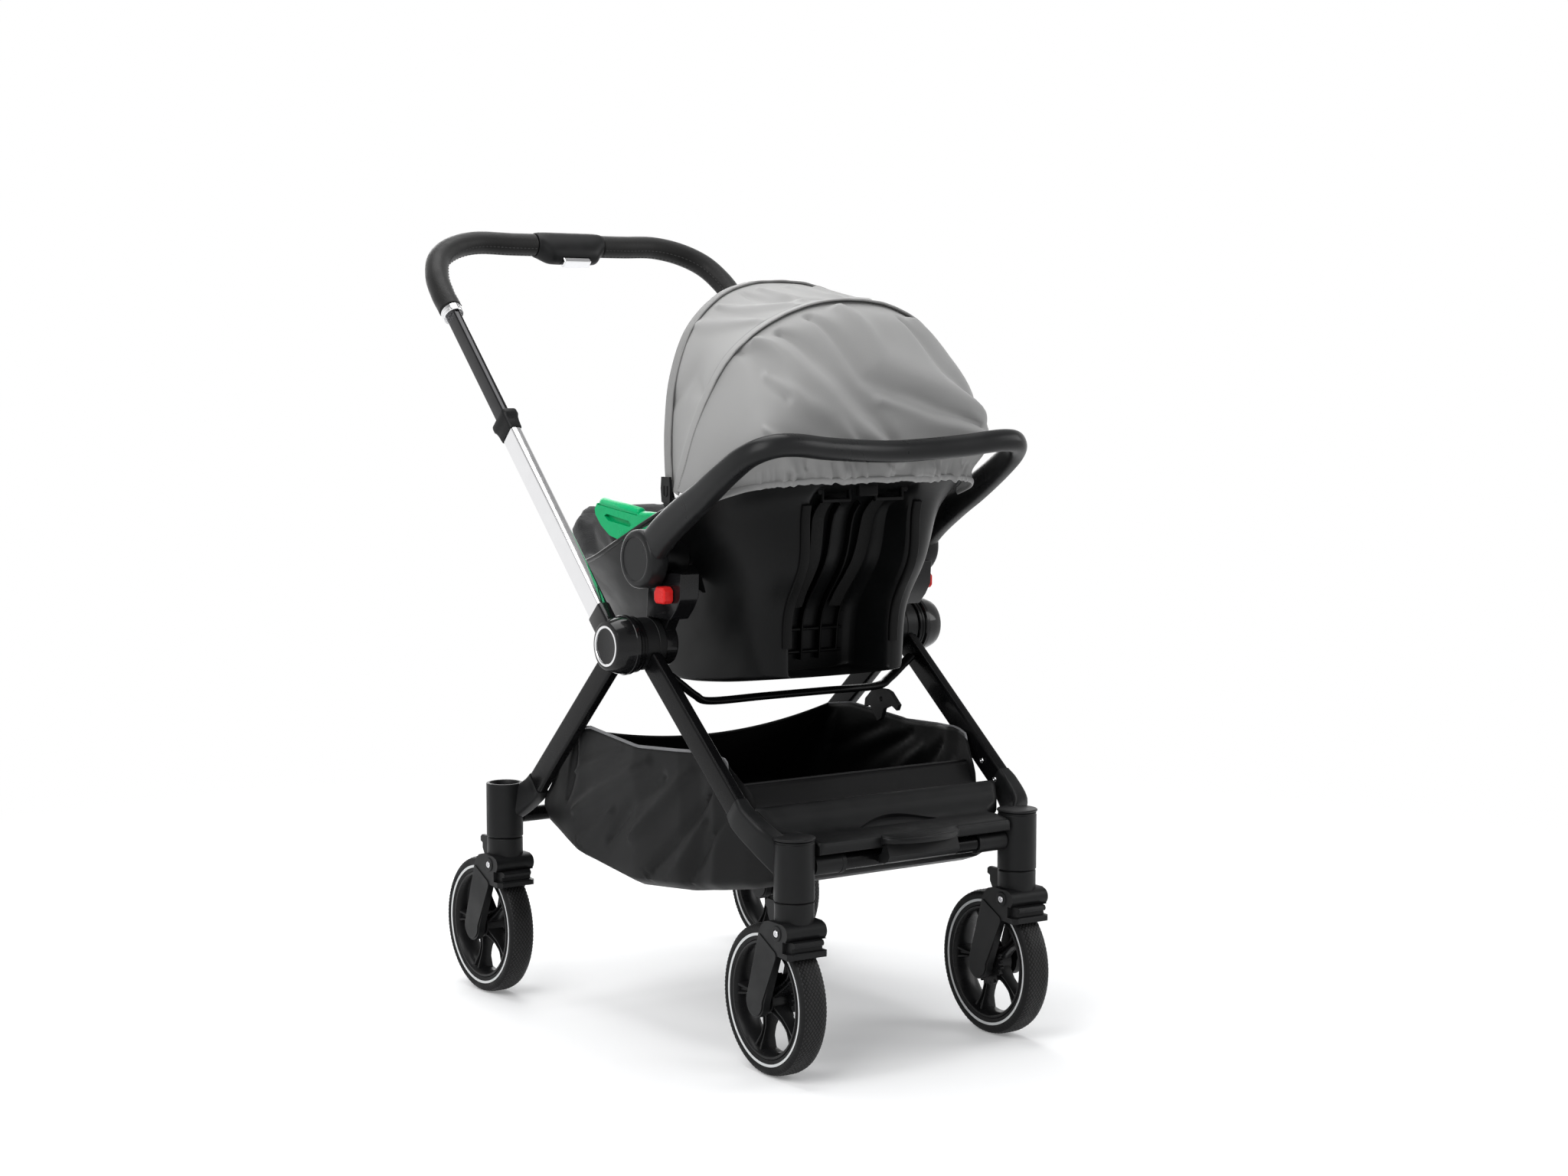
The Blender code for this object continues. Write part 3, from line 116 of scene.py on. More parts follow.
def seen_directly(tree):
    """One for rays from the camera, and for what metal and glass mirror; zero for light on the stroller."""
    rays = node(tree, "ShaderNodeLightPath")
    total = node(tree, "ShaderNodeMath", operation="MAXIMUM")
    both = node(tree, "ShaderNodeMath", operation="MAXIMUM")
    wire(tree, (rays, "Is Camera Ray", total, 0), (rays, "Is Glossy Ray", total, 1), (total, 0, both, 0),
         (rays, "Is Transmission Ray", both, 1))
    return both.outputs[0]


world = bpy.data.worlds.new("studio")
scene.world = world
world.use_nodes = True
sky = world.node_tree
sky.nodes.clear()
room = node(sky, "ShaderNodeBackground", Color=(0.9, 0.92, 0.95, 1), Strength=0.42)
white = node(sky, "ShaderNodeBackground", Color=(1, 1, 1, 1), Strength=1.0)
choose = node(sky, "ShaderNodeMixShader")
output = node(sky, "ShaderNodeOutputWorld")
# in a mirror the room is white at eye level and dark overhead, which gives metal its contrast
rays = node(sky, "ShaderNodeLightPath")
way = node(sky, "ShaderNodeTexCoord")
split = node(sky, "ShaderNodeSeparateXYZ")
ceiling = node(sky, "ShaderNodeMapRange", From_Min=0.15, From_Max=0.8, To_Min=1.0, To_Max=0.36)
level = node(sky, "ShaderNodeMix")
level.inputs[2].default_value = 1.0
wire(sky, (way, "Generated", split, 0), (split, 2, ceiling, 0), (rays, "Is Glossy Ray", level, 0),
     (ceiling, 0, level, 3), (level, 0, white, "Strength"))
sky.links.new(seen_directly(sky), choose.inputs[0])
wire(sky, (room, 0, choose, 1), (white, 0, choose, 2), (choose, 0, output, 0))

floor_mesh = bpy.data.meshes.new("floor")
FLOOR_HALF = 14.0
corners = [(a * FLOOR_HALF, b * FLOOR_HALF, 0) for a, b in ((-1, -1), (1, -1), (1, 1), (-1, 1))]
floor_mesh.from_pydata(corners, [], [(0, 1, 2, 3)])
floor = bpy.data.objects.new("floor", floor_mesh)
scene.collection.objects.link(floor)
paper = bpy.data.materials.new("studio_paper")
paper.use_nodes = True
tree = paper.node_tree
tree.nodes.clear()
matt = node(tree, "ShaderNodeBsdfDiffuse", Color=(0.8, 0.8, 0.8, 1))
glow = node(tree, "ShaderNodeEmission", Color=(1, 1, 1, 1), Strength=0.2)
both = node(tree, "ShaderNodeAddShader")
choose = node(tree, "ShaderNodeMixShader")
output = node(tree, "ShaderNodeOutputMaterial")
# the paper turns to pure white with distance, so no horizon shows behind the stroller
place = node(tree, "ShaderNodeTexCoord")
reach = node(tree, "ShaderNodeVectorMath", operation="LENGTH")
fade = node(tree, "ShaderNodeMapRange", From_Min=0.65, From_Max=2.1, interpolation_type="SMOOTHSTEP")
bright = node(tree, "ShaderNodeEmission", Color=(1, 1, 1, 1), Strength=1.0)
far_white = node(tree, "ShaderNodeMixShader")
wire(tree, (place, "Object", reach, 0), (reach, "Value", fade, 0), (matt, 0, both, 0), (glow, 0, both, 1),
     (fade, 0, far_white, 0), (both, 0, far_white, 1), (bright, 0, far_white, 2))
tree.links.new(seen_directly(tree), choose.inputs[0])
wire(tree, (matt, 0, choose, 1), (far_white, 0, choose, 2), (choose, 0, output, 0))
floor_mesh.materials.append(paper)


# Legs and cross tubes
# Rounded rectangular steel tubes, powder coated satin black. The near pair is fixed to
# the hub cores; the far pair carries its own hub rings and folds about them.
SIDES = (("right", -1), ("left", 1))
LEG_W = 0.032
LEG_T = 0.016
LEG_CORNER = 0.004
NEAR_TRACK = 0.3556
FAR_TRACK = 0.4893
POST_Y = 0.2958
RING_IN = 0.2218
RING_OUT = 0.2316
XDIR = Vector((1, 0, 0))
ZDIR = Vector((0, 0, 1))
HUB_AXIS = Vector((0, HUB_Y, HUB_Z))


def finish(name, low, high, rough, metal=0.0, patch=35.0, grain=1400.0, bump=0.12, depth=0.0002, coat=0.0,
           spread=0.07, sheen=0.0, shine=0.15):
    """A surface whose colour drifts between low and high, with fine grain and uneven gloss."""
    mat = bpy.data.materials.new(name)
    mat.use_nodes = True
    tree = mat.node_tree
    bsdf = tree.nodes["Principled BSDF"]
    bsdf.inputs["Metallic"].default_value = metal
    bsdf.inputs["Coat Weight"].default_value = coat
    bsdf.inputs["Specular IOR Level"].default_value = shine
    bsdf.inputs["Sheen Weight"].default_value = sheen
    place = node(tree, "ShaderNodeTexCoord")
    cloud = node(tree, "ShaderNodeTexNoise", Scale=patch, Detail=4.0)
    tint = node(tree, "ShaderNodeMix", data_type="RGBA")
    tint.inputs[6].default_value = (*low, 1)
    tint.inputs[7].default_value = (*high, 1)
    gloss = node(tree, "ShaderNodeMapRange", From_Min=0.35, From_Max=0.65, To_Min=rough - spread,
                 To_Max=rough + spread)
    speck = node(tree, "ShaderNodeTexNoise", Scale=grain, Detail=2.0)
    lift = node(tree, "ShaderNodeBump", Strength=bump, Distance=depth)
    wire(tree, (place, "Object", cloud, "Vector"), (place, "Object", speck, "Vector"), (cloud, 0, tint, 0),
         (tint, 2, bsdf, "Base Color"), (cloud, 0, gloss, 0), (gloss, 0, bsdf, "Roughness"),
         (speck, 0, lift, "Height"), (lift, 0, bsdf, "Normal"))
    return mat


BLACK_PAINT = finish("satin_black_paint", (0.0025, 0.0025, 0.0028), (0.0045, 0.0045, 0.0048), 0.26,
                     grain=900, bump=0.05, coat=0.05, shine=0.09)
MOULDED = finish("moulded_black_plastic", (0.0055, 0.0057, 0.006), (0.009, 0.0092, 0.0095), 0.42,
                 grain=2200, bump=0.22, shine=0.16)

POST_CAP = finish("grained_post_cap", (0.01, 0.01, 0.0105), (0.015, 0.015, 0.0155), 0.38, grain=1600,
                  bump=0.25)


def loft(rings, around=False, bm=None, mats=None):
    """Skin a list of rings of points; mats gives a material number for each band."""
    bm = bm or bmesh.new()
    rows = [[bm.verts.new(p) for p in ring] for ring in rings]
    count = len(rows[0])
    total = len(rows)
    for i in range(total if around else total - 1):
        a, b = rows[i], rows[(i + 1) % total]
        for j in range(count):
            k = (j + 1) % count
            face = bm.faces.new((a[j], a[k], b[k], b[j]))
            if mats:
                face.material_index = mats[i]
    if not around:
        first = bm.faces.new(rows[0][::-1])
        last = bm.faces.new(rows[-1])
        if mats:
            first.material_index, last.material_index = mats[0], mats[-1]
    return bm


def rounded(width, height, corner, steps=5):
    """Rounded rectangle as (a, b) pairs."""
    pts = []
    for q in range(4):
        cx = (width / 2 - corner) * (1, -1, -1, 1)[q]
        cy = (height / 2 - corner) * (1, 1, -1, -1)[q]
        for s in range(steps + 1):
            ang = math.pi / 2 * (q + s / steps)
            pts.append((cx + corner * math.cos(ang), cy + corner * math.sin(ang)))
    return pts


def oval(a, b, count=28):
    return [(a * math.cos(math.tau * i / count), b * math.sin(math.tau * i / count)) for i in range(count)]


def laid(section, at, first, second):
    """A section's (a, b) pairs laid out round a point along two directions."""
    return [at + first * a + second * b for a, b in section]


def heading(path, i, around=False):
    """Direction of a path at point i; around joins its ends."""
    if around:
        return (path[(i + 1) % len(path)] - path[i - 1]).normalized()
    return (path[min(i + 1, len(path) - 1)] - path[max(i - 1, 0)]).normalized()


def square_to(tan, way):
    """The direction nearest to way that is at right angles to tan."""
    return (way - tan * way.dot(tan)).normalized()


def smooth_path(points, steps):
    """Catmull-Rom samples through points, or through rings of points."""
    def blend_rows(rows, weights):
        if isinstance(rows[0], list):
            return [blend_rows([r[k] for r in rows], weights) for k in range(len(rows[0]))]
        return sum((Vector(r) * w for r, w in zip(rows, weights)), Vector((0, 0, 0)))

    def ahead(a, b):
        return [Vector(p) * 2 - Vector(q) for p,
                q in zip(a, b)] if isinstance(a, list) else Vector(a) * 2 - Vector(b)

    out = []
    for i in range(len(points) - 1):
        before = points[i - 1] if i > 0 else ahead(points[0], points[1])
        after = points[i + 2] if i + 2 < len(points) else ahead(points[-1], points[-2])
        for s in range(steps):
            t = s / steps
            weights = (-0.5 * t + t * t - 0.5 * t ** 3, 1 - 2.5 * t * t + 1.5 * t ** 3,
                       0.5 * t + 2 * t * t - 1.5 * t ** 3, -0.5 * t * t + 0.5 * t ** 3)
            out.append(blend_rows([before, points[i], points[i + 1], after], weights))
    last = points[-1]
    out.append([Vector(p) for p in last] if isinstance(last, list) else Vector(last))
    return out


def sweep(path, section, side=(1, 0, 0)):
    """Rings of a section along a path; the section's first axis stays near side."""
    pts = [Vector(p) for p in path]
    rings = []
    for i, p in enumerate(pts):
        tan = heading(pts, i)
        first = square_to(tan, Vector(side))
        sec = section(i / (len(pts) - 1)) if callable(section) else section
        rings.append(laid(sec, p, first, tan.cross(first)))
    return rings


def lathe(profile, centre, count=64, closed=False, bm=None, mats=None):
    """Turn (radius, x) pairs about an axis along x."""
    rings = [[Vector(centre) + Vector((x, a, b)) for a, b in oval(r, r, count)] for r, x in profile]
    return loft(rings, closed, bm, mats)


def turned(profile, centre, count=64, bm=None):
    """Turn (radius, z) pairs about a vertical axis."""
    return loft([[Vector(centre) + Vector((a, b, z)) for a, b in oval(r, r, count)] for r, z in profile],
                False, bm)


def sided(profile, s):
    """A profile for the right or the left side."""
    return [(r, s * x) for r, x in profile]


def prism(outline, lo, hi, bm=None):
    """Outline of (y, z) pairs pushed along x from lo to hi."""
    return loft([[Vector((lo, y, z)) for y, z in outline], [Vector((hi, y, z)) for y, z in outline]], False,
                bm)


def mount(ob, body=None, replaces=None, edge=0.0):
    """Softens a piece's edges, and rides it on a body in place of its CAD node."""
    if edge:
        soften(ob, edge)
    if body:
        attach(ob, body)
    if replaces:
        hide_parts(replaces)


def piece(name, bm, mats, body, replaces=None, sharp=40.0, edge=0.0, subdivide=0, place=None):
    """Finish a mesh as one named piece that rides on a body and stands for its CAD node."""
    bmesh.ops.remove_doubles(bm, verts=bm.verts, dist=2e-6)
    bmesh.ops.recalc_face_normals(bm, faces=bm.faces)
    mesh = bpy.data.meshes.new(name)
    bm.to_mesh(mesh)
    bm.free()
    mesh.transform(place or Matrix.Translation((0, SHIFT, 0)))
    for mat in mats if isinstance(mats, (list, tuple)) else [mats]:
        mesh.materials.append(mat)
    mesh.shade_smooth()
    mesh.set_sharp_from_angle(angle=math.radians(sharp))
    ob = bpy.data.objects.new(name, mesh)
    scene.collection.objects.link(ob)
    if edge:
        soften(ob, edge)
    if subdivide:
        smooth = ob.modifiers.new("smooth", "SUBSURF")
        smooth.levels = smooth.render_levels = subdivide
    mount(ob, body, replaces)
    return ob


def soften(ob, width, segments=3):
    """Rounds a hard plastic or metal piece's edges."""
    bevel = ob.modifiers.new("soft_edge", "BEVEL")
    bevel.width = width
    bevel.segments = segments
    bevel.limit_method = "ANGLE"
    bevel.angle_limit = math.radians(35)
    bevel.harden_normals = True


def leg_line(s, x0, spread, angle, length, start, lean, offset):
    """Start and end of a leg's centre line; lean is -1 for near legs and 1 for far legs."""
    d = Vector((s * spread, lean * math.sin(angle), -math.cos(angle)))
    n = Vector((0, math.cos(angle), lean * math.sin(angle)))
    base = Vector((s * x0, HUB_Y, HUB_Z)) + n * offset
    return base + d * start, base + d * length, d.normalized(), n


NEAR_LEG = (0.2072, 0.012, math.radians(49.9), 0.285, 0.0343, -1, 0.0)
FAR_LEG = (0.232, -0.033, math.radians(47.8), 0.3225, 0.0415, 1, 0.007)
leg_section = rounded(LEG_T, LEG_W, LEG_CORNER, 7)
for side, s in SIDES:
    a, b, d, n = leg_line(s, *NEAR_LEG)
    piece("near_leg_tube_" + side, loft(sweep([a, b], leg_section)), BLACK_PAINT, "chassis",
          "near_leg_" + side)
    a, b, d, n = leg_line(s, *FAR_LEG)
    bm = loft(sweep([a, b], leg_section))
    ring = [(0.01, RING_IN), (0.0355, RING_IN), (0.0365, RING_IN + 0.001), (0.0365, 0.2258),
            (0.0358, 0.2262), (0.0358, 0.2272), (0.0365, 0.2276), (0.0365, RING_OUT - 0.001),
            (0.0355, RING_OUT), (0.01, RING_OUT)]
    lathe(sided(ring, s), HUB_AXIS, 64, True, bm)
    neck_at = Vector((s * ((RING_IN + RING_OUT) / 2 + 0.0008), HUB_Y, HUB_Z)) + n * FAR_LEG[-1]
    loft(sweep([neck_at + d * 0.028, neck_at + d * 0.052],
               rounded(RING_OUT - RING_IN - 0.0022, 0.03, 0.002)), False, bm)
    piece("far_leg_tube_" + side, bm, BLACK_PAINT, "far_frame", "far_leg_" + side)

CROSS_R = 0.0105
BAR_SET_IN = 0.0255
TUBE_Y = -0.295
TUBE_Z = 0.265
FAR_TUBE_Z = 0.252


def cross_bar(name, half, y, z, body, replaced):
    path = [(-half, y, z), (half, y, z)]
    piece(name, loft(sweep(path, oval(CROSS_R, CROSS_R, 40), (0, 0, 1))), BLACK_PAINT, body, replaced)


half = NEAR_TRACK / 2 - BAR_SET_IN
cross_bar("near_cross_bar", half, TUBE_Y, TUBE_Z, "chassis", "near_cross_tube")
# stepped sleeves between the foot plate's lugs and the castings
sleeve = [(0.0108, 0.106), (0.0128, 0.106), (0.0134, 0.1066), (0.0134, 0.112), (0.0128, 0.1126),
          (0.0128, half - 0.0006), (0.0108, half - 0.0006)]
for side, s in SIDES:
    bm = lathe(sided(sleeve, s), (0, TUBE_Y, TUBE_Z), 48, True)
    piece("cross_bar_sleeve_" + side, bm, MOULDED, "chassis", sharp=30)
cross_bar("far_cross_bar", FAR_TRACK / 2 - BAR_SET_IN, POST_Y, FAR_TUBE_Z, "far_frame", "far_cross_tube")


# Castings
# Moulded nylon sockets that take each leg end and end in the upright swivel post. The
# near posts have a round cap on top, the far ones an open dished top.
POST_R = 0.0252
POST_TOP = 0.3
POST_SEAM = 0.2248
SOCKET_LIP = 0.0007


def casting_arm(b, d, n, reach, mid, tilt, mid_w, end, end_up):
    """Skin from a leg's end (b, along d) over a bent neck to the swivel post."""
    rings = [laid(rounded(h, w, 0.005), b + d * dist, XDIR, n)
             for dist, w, h in ((SOCKET_LIP, 0.034, 0.019), (reach, 0.036, 0.022))]
    rings.append(laid(rounded(mid_w, 0.04, 0.007), mid, XDIR, (n + Vector(tilt)).normalized()))
    rings.append(laid(rounded(0.03, 0.046, 0.007), end, XDIR, Vector(end_up)))
    return smooth_path(rings, 6)


for side, s in SIDES:
    a, b, d, n = leg_line(s, *NEAR_LEG)
    post = Vector((s * NEAR_TRACK / 2, -POST_Y, 0))
    bm = turned([(POST_R - 0.0012, POST_SEAM + 0.0003), (POST_R, POST_SEAM + 0.0014), (POST_R, 0.2962),
                 (0.0245, 0.2968), (0.0245, 0.2978), (0.025, 0.2984), (0.025, POST_TOP - 0.0012),
                 (0.0238, POST_TOP)], post)
    mid = (b + d * 0.042) * 0.7 + Vector((post.x, post.y, 0.276)) * 0.3
    end = Vector((post.x, post.y + 0.006, 0.268))
    loft(casting_arm(b, d, n, 0.02, mid, (0, 0.35, -0.5), 0.026, end, (0, 0.1, -0.99)), False, bm)
    piece("near_post_" + side, bm, MOULDED, "chassis", "near_casting_" + side, edge=0.0008)
    cap = turned([(0.024, POST_TOP + 0.0002), (0.0258, POST_TOP + 0.0006), (0.0264, POST_TOP + 0.0016),
                  (0.0262, POST_TOP + 0.0028), (0.025, POST_TOP + 0.0036),
                  (0.012, POST_TOP + 0.0042)], post)
    piece("near_post_cap_" + side, cap, POST_CAP, "chassis", sharp=30)

    a, b, d, n = leg_line(s, *FAR_LEG)
    post = Vector((s * FAR_TRACK / 2, POST_Y, 0))
    bm = turned([(POST_R - 0.0012, POST_SEAM + 0.0003), (POST_R, POST_SEAM + 0.0014),
                 (POST_R, POST_TOP - 0.0012), (POST_R - 0.001, POST_TOP), (0.0212, POST_TOP),
                 (0.0204, POST_TOP - 0.001), (0.0198, POST_TOP - 0.0085)], post)
    end = Vector((post.x - s * 0.004, post.y - 0.01, 0.27))
    mid = (b + d * 0.03) * 0.6 + end * 0.4
    loft(casting_arm(b, d, n, 0.016, mid, (0, -0.3, 0.5), 0.025, end, (0, 0.1, 0.99)), False, bm)
    piece("far_post_" + side, bm, MOULDED, "far_frame", "far_casting_" + side, edge=0.0008)


# Hubs and carrier posts
# Each hub is a stack of moulded discs on one axle: the core on the near leg, the ring of
# the far leg, and the cap of the push handle, whose face carries a thin chrome ring.
CHROME = finish("bright_chrome", (0.8, 0.8, 0.81), (0.86, 0.86, 0.87), 0.09, 1.0, patch=60, grain=400,
                bump=0.01, spread=0.02)
GLOSSY = finish("glossy_black_plastic", (0.005, 0.005, 0.0055), (0.008, 0.008, 0.0085), 0.17, grain=700,
                bump=0.03, coat=0.15)
BLACK_CHROME = finish("black_chrome", (0.03, 0.03, 0.031), (0.048, 0.048, 0.05), 0.12, 1.0, patch=60,
                      grain=500, bump=0.02, spread=0.03)
HANDLE_X = 0.2483
HANDLE_ANGLE = math.radians(44.77)
ALONG = Vector((0, math.sin(HANDLE_ANGLE), math.cos(HANDLE_ANGLE)))
ACROSS = Vector((0, math.cos(HANDLE_ANGLE), -math.sin(HANDLE_ANGLE)))
SOCKET_END = 0.058
for side, s in SIDES:
    core = [(0.01, 0.19), (0.032, 0.19), (0.034, 0.192), (0.034, 0.201), (0.0333, 0.2016), (0.0333, 0.2026),
            (0.034, 0.2032), (0.034, 0.2205), (0.033, 0.2215), (0.01, 0.2215)]
    piece("hub_drum_" + side, lathe(sided(core, s), HUB_AXIS, 72, True), MOULDED, "chassis",
          "hub_core_" + side)

    ring = [(0.01, 0.17), (0.028, 0.17), (0.03, 0.172), (0.03, 0.1897), (0.01, 0.1897)]
    bm = lathe(sided(ring, s), HUB_AXIS, 64, True)
    prism([(HUB_Y - 0.022, HUB_Z + 0.014), (HUB_Y + 0.02, HUB_Z + 0.014), (HUB_Y + 0.002, 0.562),
           (HUB_Y - 0.044, 0.562)], s * 0.172, s * 0.1893, bm)
    prism([(-0.004, 0.5508), (-0.006, 0.575), (-0.008, 0.59), (-0.013, 0.6062), (-0.047, 0.6062),
           (-0.058, 0.611), (-0.086, 0.611), (-0.084, 0.58), (-0.074, 0.565),
           (-0.06, 0.5508)], s * 0.1745, s * 0.203, bm)
    piece("carrier_post_" + side, bm, GLOSSY, "chassis", "carrier_adaptor_" + side,
          edge=0.0026)

    cap = [(0.0375, 0.2319), (0.0388, 0.2335), (0.0388, 0.238), (0.038, 0.2388), (0.036, 0.25),
           (0.0325, 0.26), (0.0312, 0.2622), (0.0295, 0.2632), (0.0266, 0.2634), (0.0262, 0.2634),
           (0.0262, 0.2639), (0.0258, 0.2641), (0.0236, 0.2641), (0.0232, 0.2637), (0.023, 0.2622),
           (0.02, 0.2618), (0.004, 0.2616)]
    bands = [0] * 9 + [1] * 5 + [2] * 2
    bm = lathe(sided(cap, s), HUB_AXIS, 96, False, mats=bands)
    base = Vector((s * HANDLE_X, HUB_Y, HUB_Z))
    loft(sweep([base + ALONG * 0.012, base + ALONG * 0.0565, base + ALONG * SOCKET_END],
               lambda t: rounded(0.018, 0.036, 0.004) if t < 0.9 else rounded(0.0168, 0.0348, 0.0038)),
         False, bm)
    piece("handle_hub_" + side, bm, [GLOSSY, CHROME, GLOSSY], "push_handle", "hub_cap_" + side,
          sharp=28)


# Push handle
# Chrome lower tubes, black upper tubes that slide in them through a moulded collar, bright
# end cuffs, and one U of tube wrapped in stitched leather with the fold housing in the middle.
LOWER_TUBE_END = 0.39
COLLAR_START = 0.372
COLLAR_END = 0.404
UPPER_TUBE_START = 0.315
UPPER_TUBE_END = 0.5997
CUFF_END = 0.612
UPPER_W = 0.025
UPPER_T = 0.011
GRIP_R = 0.0165
CROWN = 0.752
HOUSING_HALF = 0.0555
LEATHER = finish("grained_black_leather", (0.0048, 0.0046, 0.0045), (0.0082, 0.0079, 0.0076), 0.46,
                 patch=60, grain=1, bump=0.5, depth=0.0004, sheen=0.15)


def pebbled(mat, scale, **options):
    """Leather grain or knit: small cells raised through a finish's own bump."""
    cells = node(mat.node_tree, "ShaderNodeTexVoronoi", Scale=scale, **options)
    wire(mat.node_tree, ("Texture Coordinate", "Object", cells, "Vector"),
         (cells, "Distance", "Bump", "Height"))


pebbled(LEATHER, 620.0, feature="SMOOTH_F1")
STEEL = finish("screw_steel", (0.55, 0.55, 0.56), (0.68, 0.68, 0.7), 0.22, 1.0, patch=200, grain=900,
               bump=0.08)
THREAD = finish("black_thread", (0.028, 0.028, 0.028), (0.045, 0.045, 0.045), 0.6, grain=3000, bump=0.4)


def growing_tree(name, inputs, output):
    """An empty Geometry Nodes tree with its named sockets, and the node that reads them."""
    tree = bpy.data.node_groups.new(name, "GeometryNodeTree")
    for label, kind, value in inputs:
        socket = tree.interface.new_socket(label, in_out="INPUT", socket_type="NodeSocket" + kind)
        if value is not None:
            socket.default_value = value
    tree.interface.new_socket(output, in_out="OUTPUT", socket_type="NodeSocketGeometry")
    return tree, node(tree, "NodeGroupInput")


def planted(tree, given, points, thing, facing, size, material):
    """Sets a thing on every point, turned and sized, makes the copies real and paints them."""
    align = node(tree, "FunctionNodeAlignRotationToVector", axis="Z")
    lay = node(tree, "GeometryNodeInstanceOnPoints")
    real = node(tree, "GeometryNodeRealizeInstances")
    paint = node(tree, "GeometryNodeSetMaterial")
    done = node(tree, "NodeGroupOutput")
    wire(tree, (*points, lay, "Points"), (*thing, lay, "Instance"), (*facing, align, "Vector"),
         (align, 0, lay, "Rotation"), (*size, lay, "Scale"), (lay, 0, real, 0),
         (real, 0, paint, "Geometry"), (given, material, paint, "Material"), (paint, 0, done, 0))


def stitch_tree(name):
    """Geometry Nodes: a run of stitches laid end to end along a guide curve."""
    tree, given = growing_tree(name, (("Guide", "Geometry", None), ("Spacing", "Float", 0.005),
                                      ("Length", "Float", 0.0036), ("Thickness", "Float", 0.0009),
                                      ("Thread", "Material", None)), "Stitches")
    curve = node(tree, "GeometryNodeMeshToCurve")
    steps = node(tree, "GeometryNodeResampleCurve", mode="LENGTH")
    bead = node(tree, "GeometryNodeMeshUVSphere", Segments=8, Rings=6, Radius=0.5)
    size = node(tree, "ShaderNodeCombineXYZ")
    tangent = node(tree, "GeometryNodeInputTangent")
    wire(tree, (given, "Guide", curve, "Mesh"), (curve, 0, steps, "Curve"),
         (given, "Spacing", steps, "Length"), (given, "Thickness", size, 0), (given, "Thickness", size, 1),
         (given, "Length", size, 2))
    planted(tree, given, (steps, 0), (bead, "Mesh"), (tangent, 0), (size, 0), "Thread")
    return tree


STITCH = stitch_tree("stitch_run")


def evaluated(ob):
    """An object's mesh with its modifiers applied."""
    return bpy.data.meshes.new_from_object(ob.evaluated_get(bpy.context.evaluated_depsgraph_get()))


def grown(name, guide, tree, values, body):
    """Runs a node tree on guide points and edges, and keeps the result as a plain mesh."""
    mesh = bpy.data.meshes.new(name + "_guide")
    points = [tuple(p) for run in guide for p in run]
    edges = []
    for run in guide:
        first = edges[-1][1] + 1 if edges else 0
        edges += [(first + k, first + k + 1) for k in range(len(run) - 1)]
    mesh.from_pydata(points, edges, [])
    mesh.transform(Matrix.Translation((0, SHIFT, 0)))
    ob = bpy.data.objects.new(name + "_guide", mesh)
    scene.collection.objects.link(ob)
    mod = ob.modifiers.new("grow", "NODES")
    mod.node_group = tree
    for item in tree.interface.items_tree:
        if item.in_out == "INPUT" and item.name in values:
            mod[item.identifier] = values[item.name]
    bpy.context.view_layer.update()
    done = evaluated(ob)
    bpy.data.objects.remove(ob)
    done.shade_smooth()
    made = bpy.data.objects.new(name, done)
    scene.collection.objects.link(made)
    mount(made, body)
    return made


def bolt_tree(name):
    """Geometry Nodes: a domed bolt head with a six-sided socket on every guide point."""
    tree, given = growing_tree(name, (("Guide", "Geometry", None), ("Radius", "Float", 0.004),
                                      ("Facing", "Vector", None), ("Metal", "Material", None)), "Bolts")
    dome = node(tree, "GeometryNodeMeshUVSphere", Segments=24, Rings=12, Radius=1.0)
    squash = node(tree, "GeometryNodeTransform", Scale=(1.0, 1.0, 0.55))
    key = node(tree, "GeometryNodeMeshCylinder", Vertices=6, Radius=0.42, Depth=0.8)
    sunk = node(tree, "GeometryNodeTransform", Translation=(0.0, 0.0, 0.6))
    cut = node(tree, "GeometryNodeMeshBoolean")
    wire(tree, (dome, "Mesh", squash, 0), (key, "Mesh", sunk, 0), (squash, 0, cut, 0), (sunk, 0, cut, 1))
    planted(tree, given, (given, "Guide"), (cut, 0), (given, "Facing"), (given, "Radius"), "Metal")
    return tree


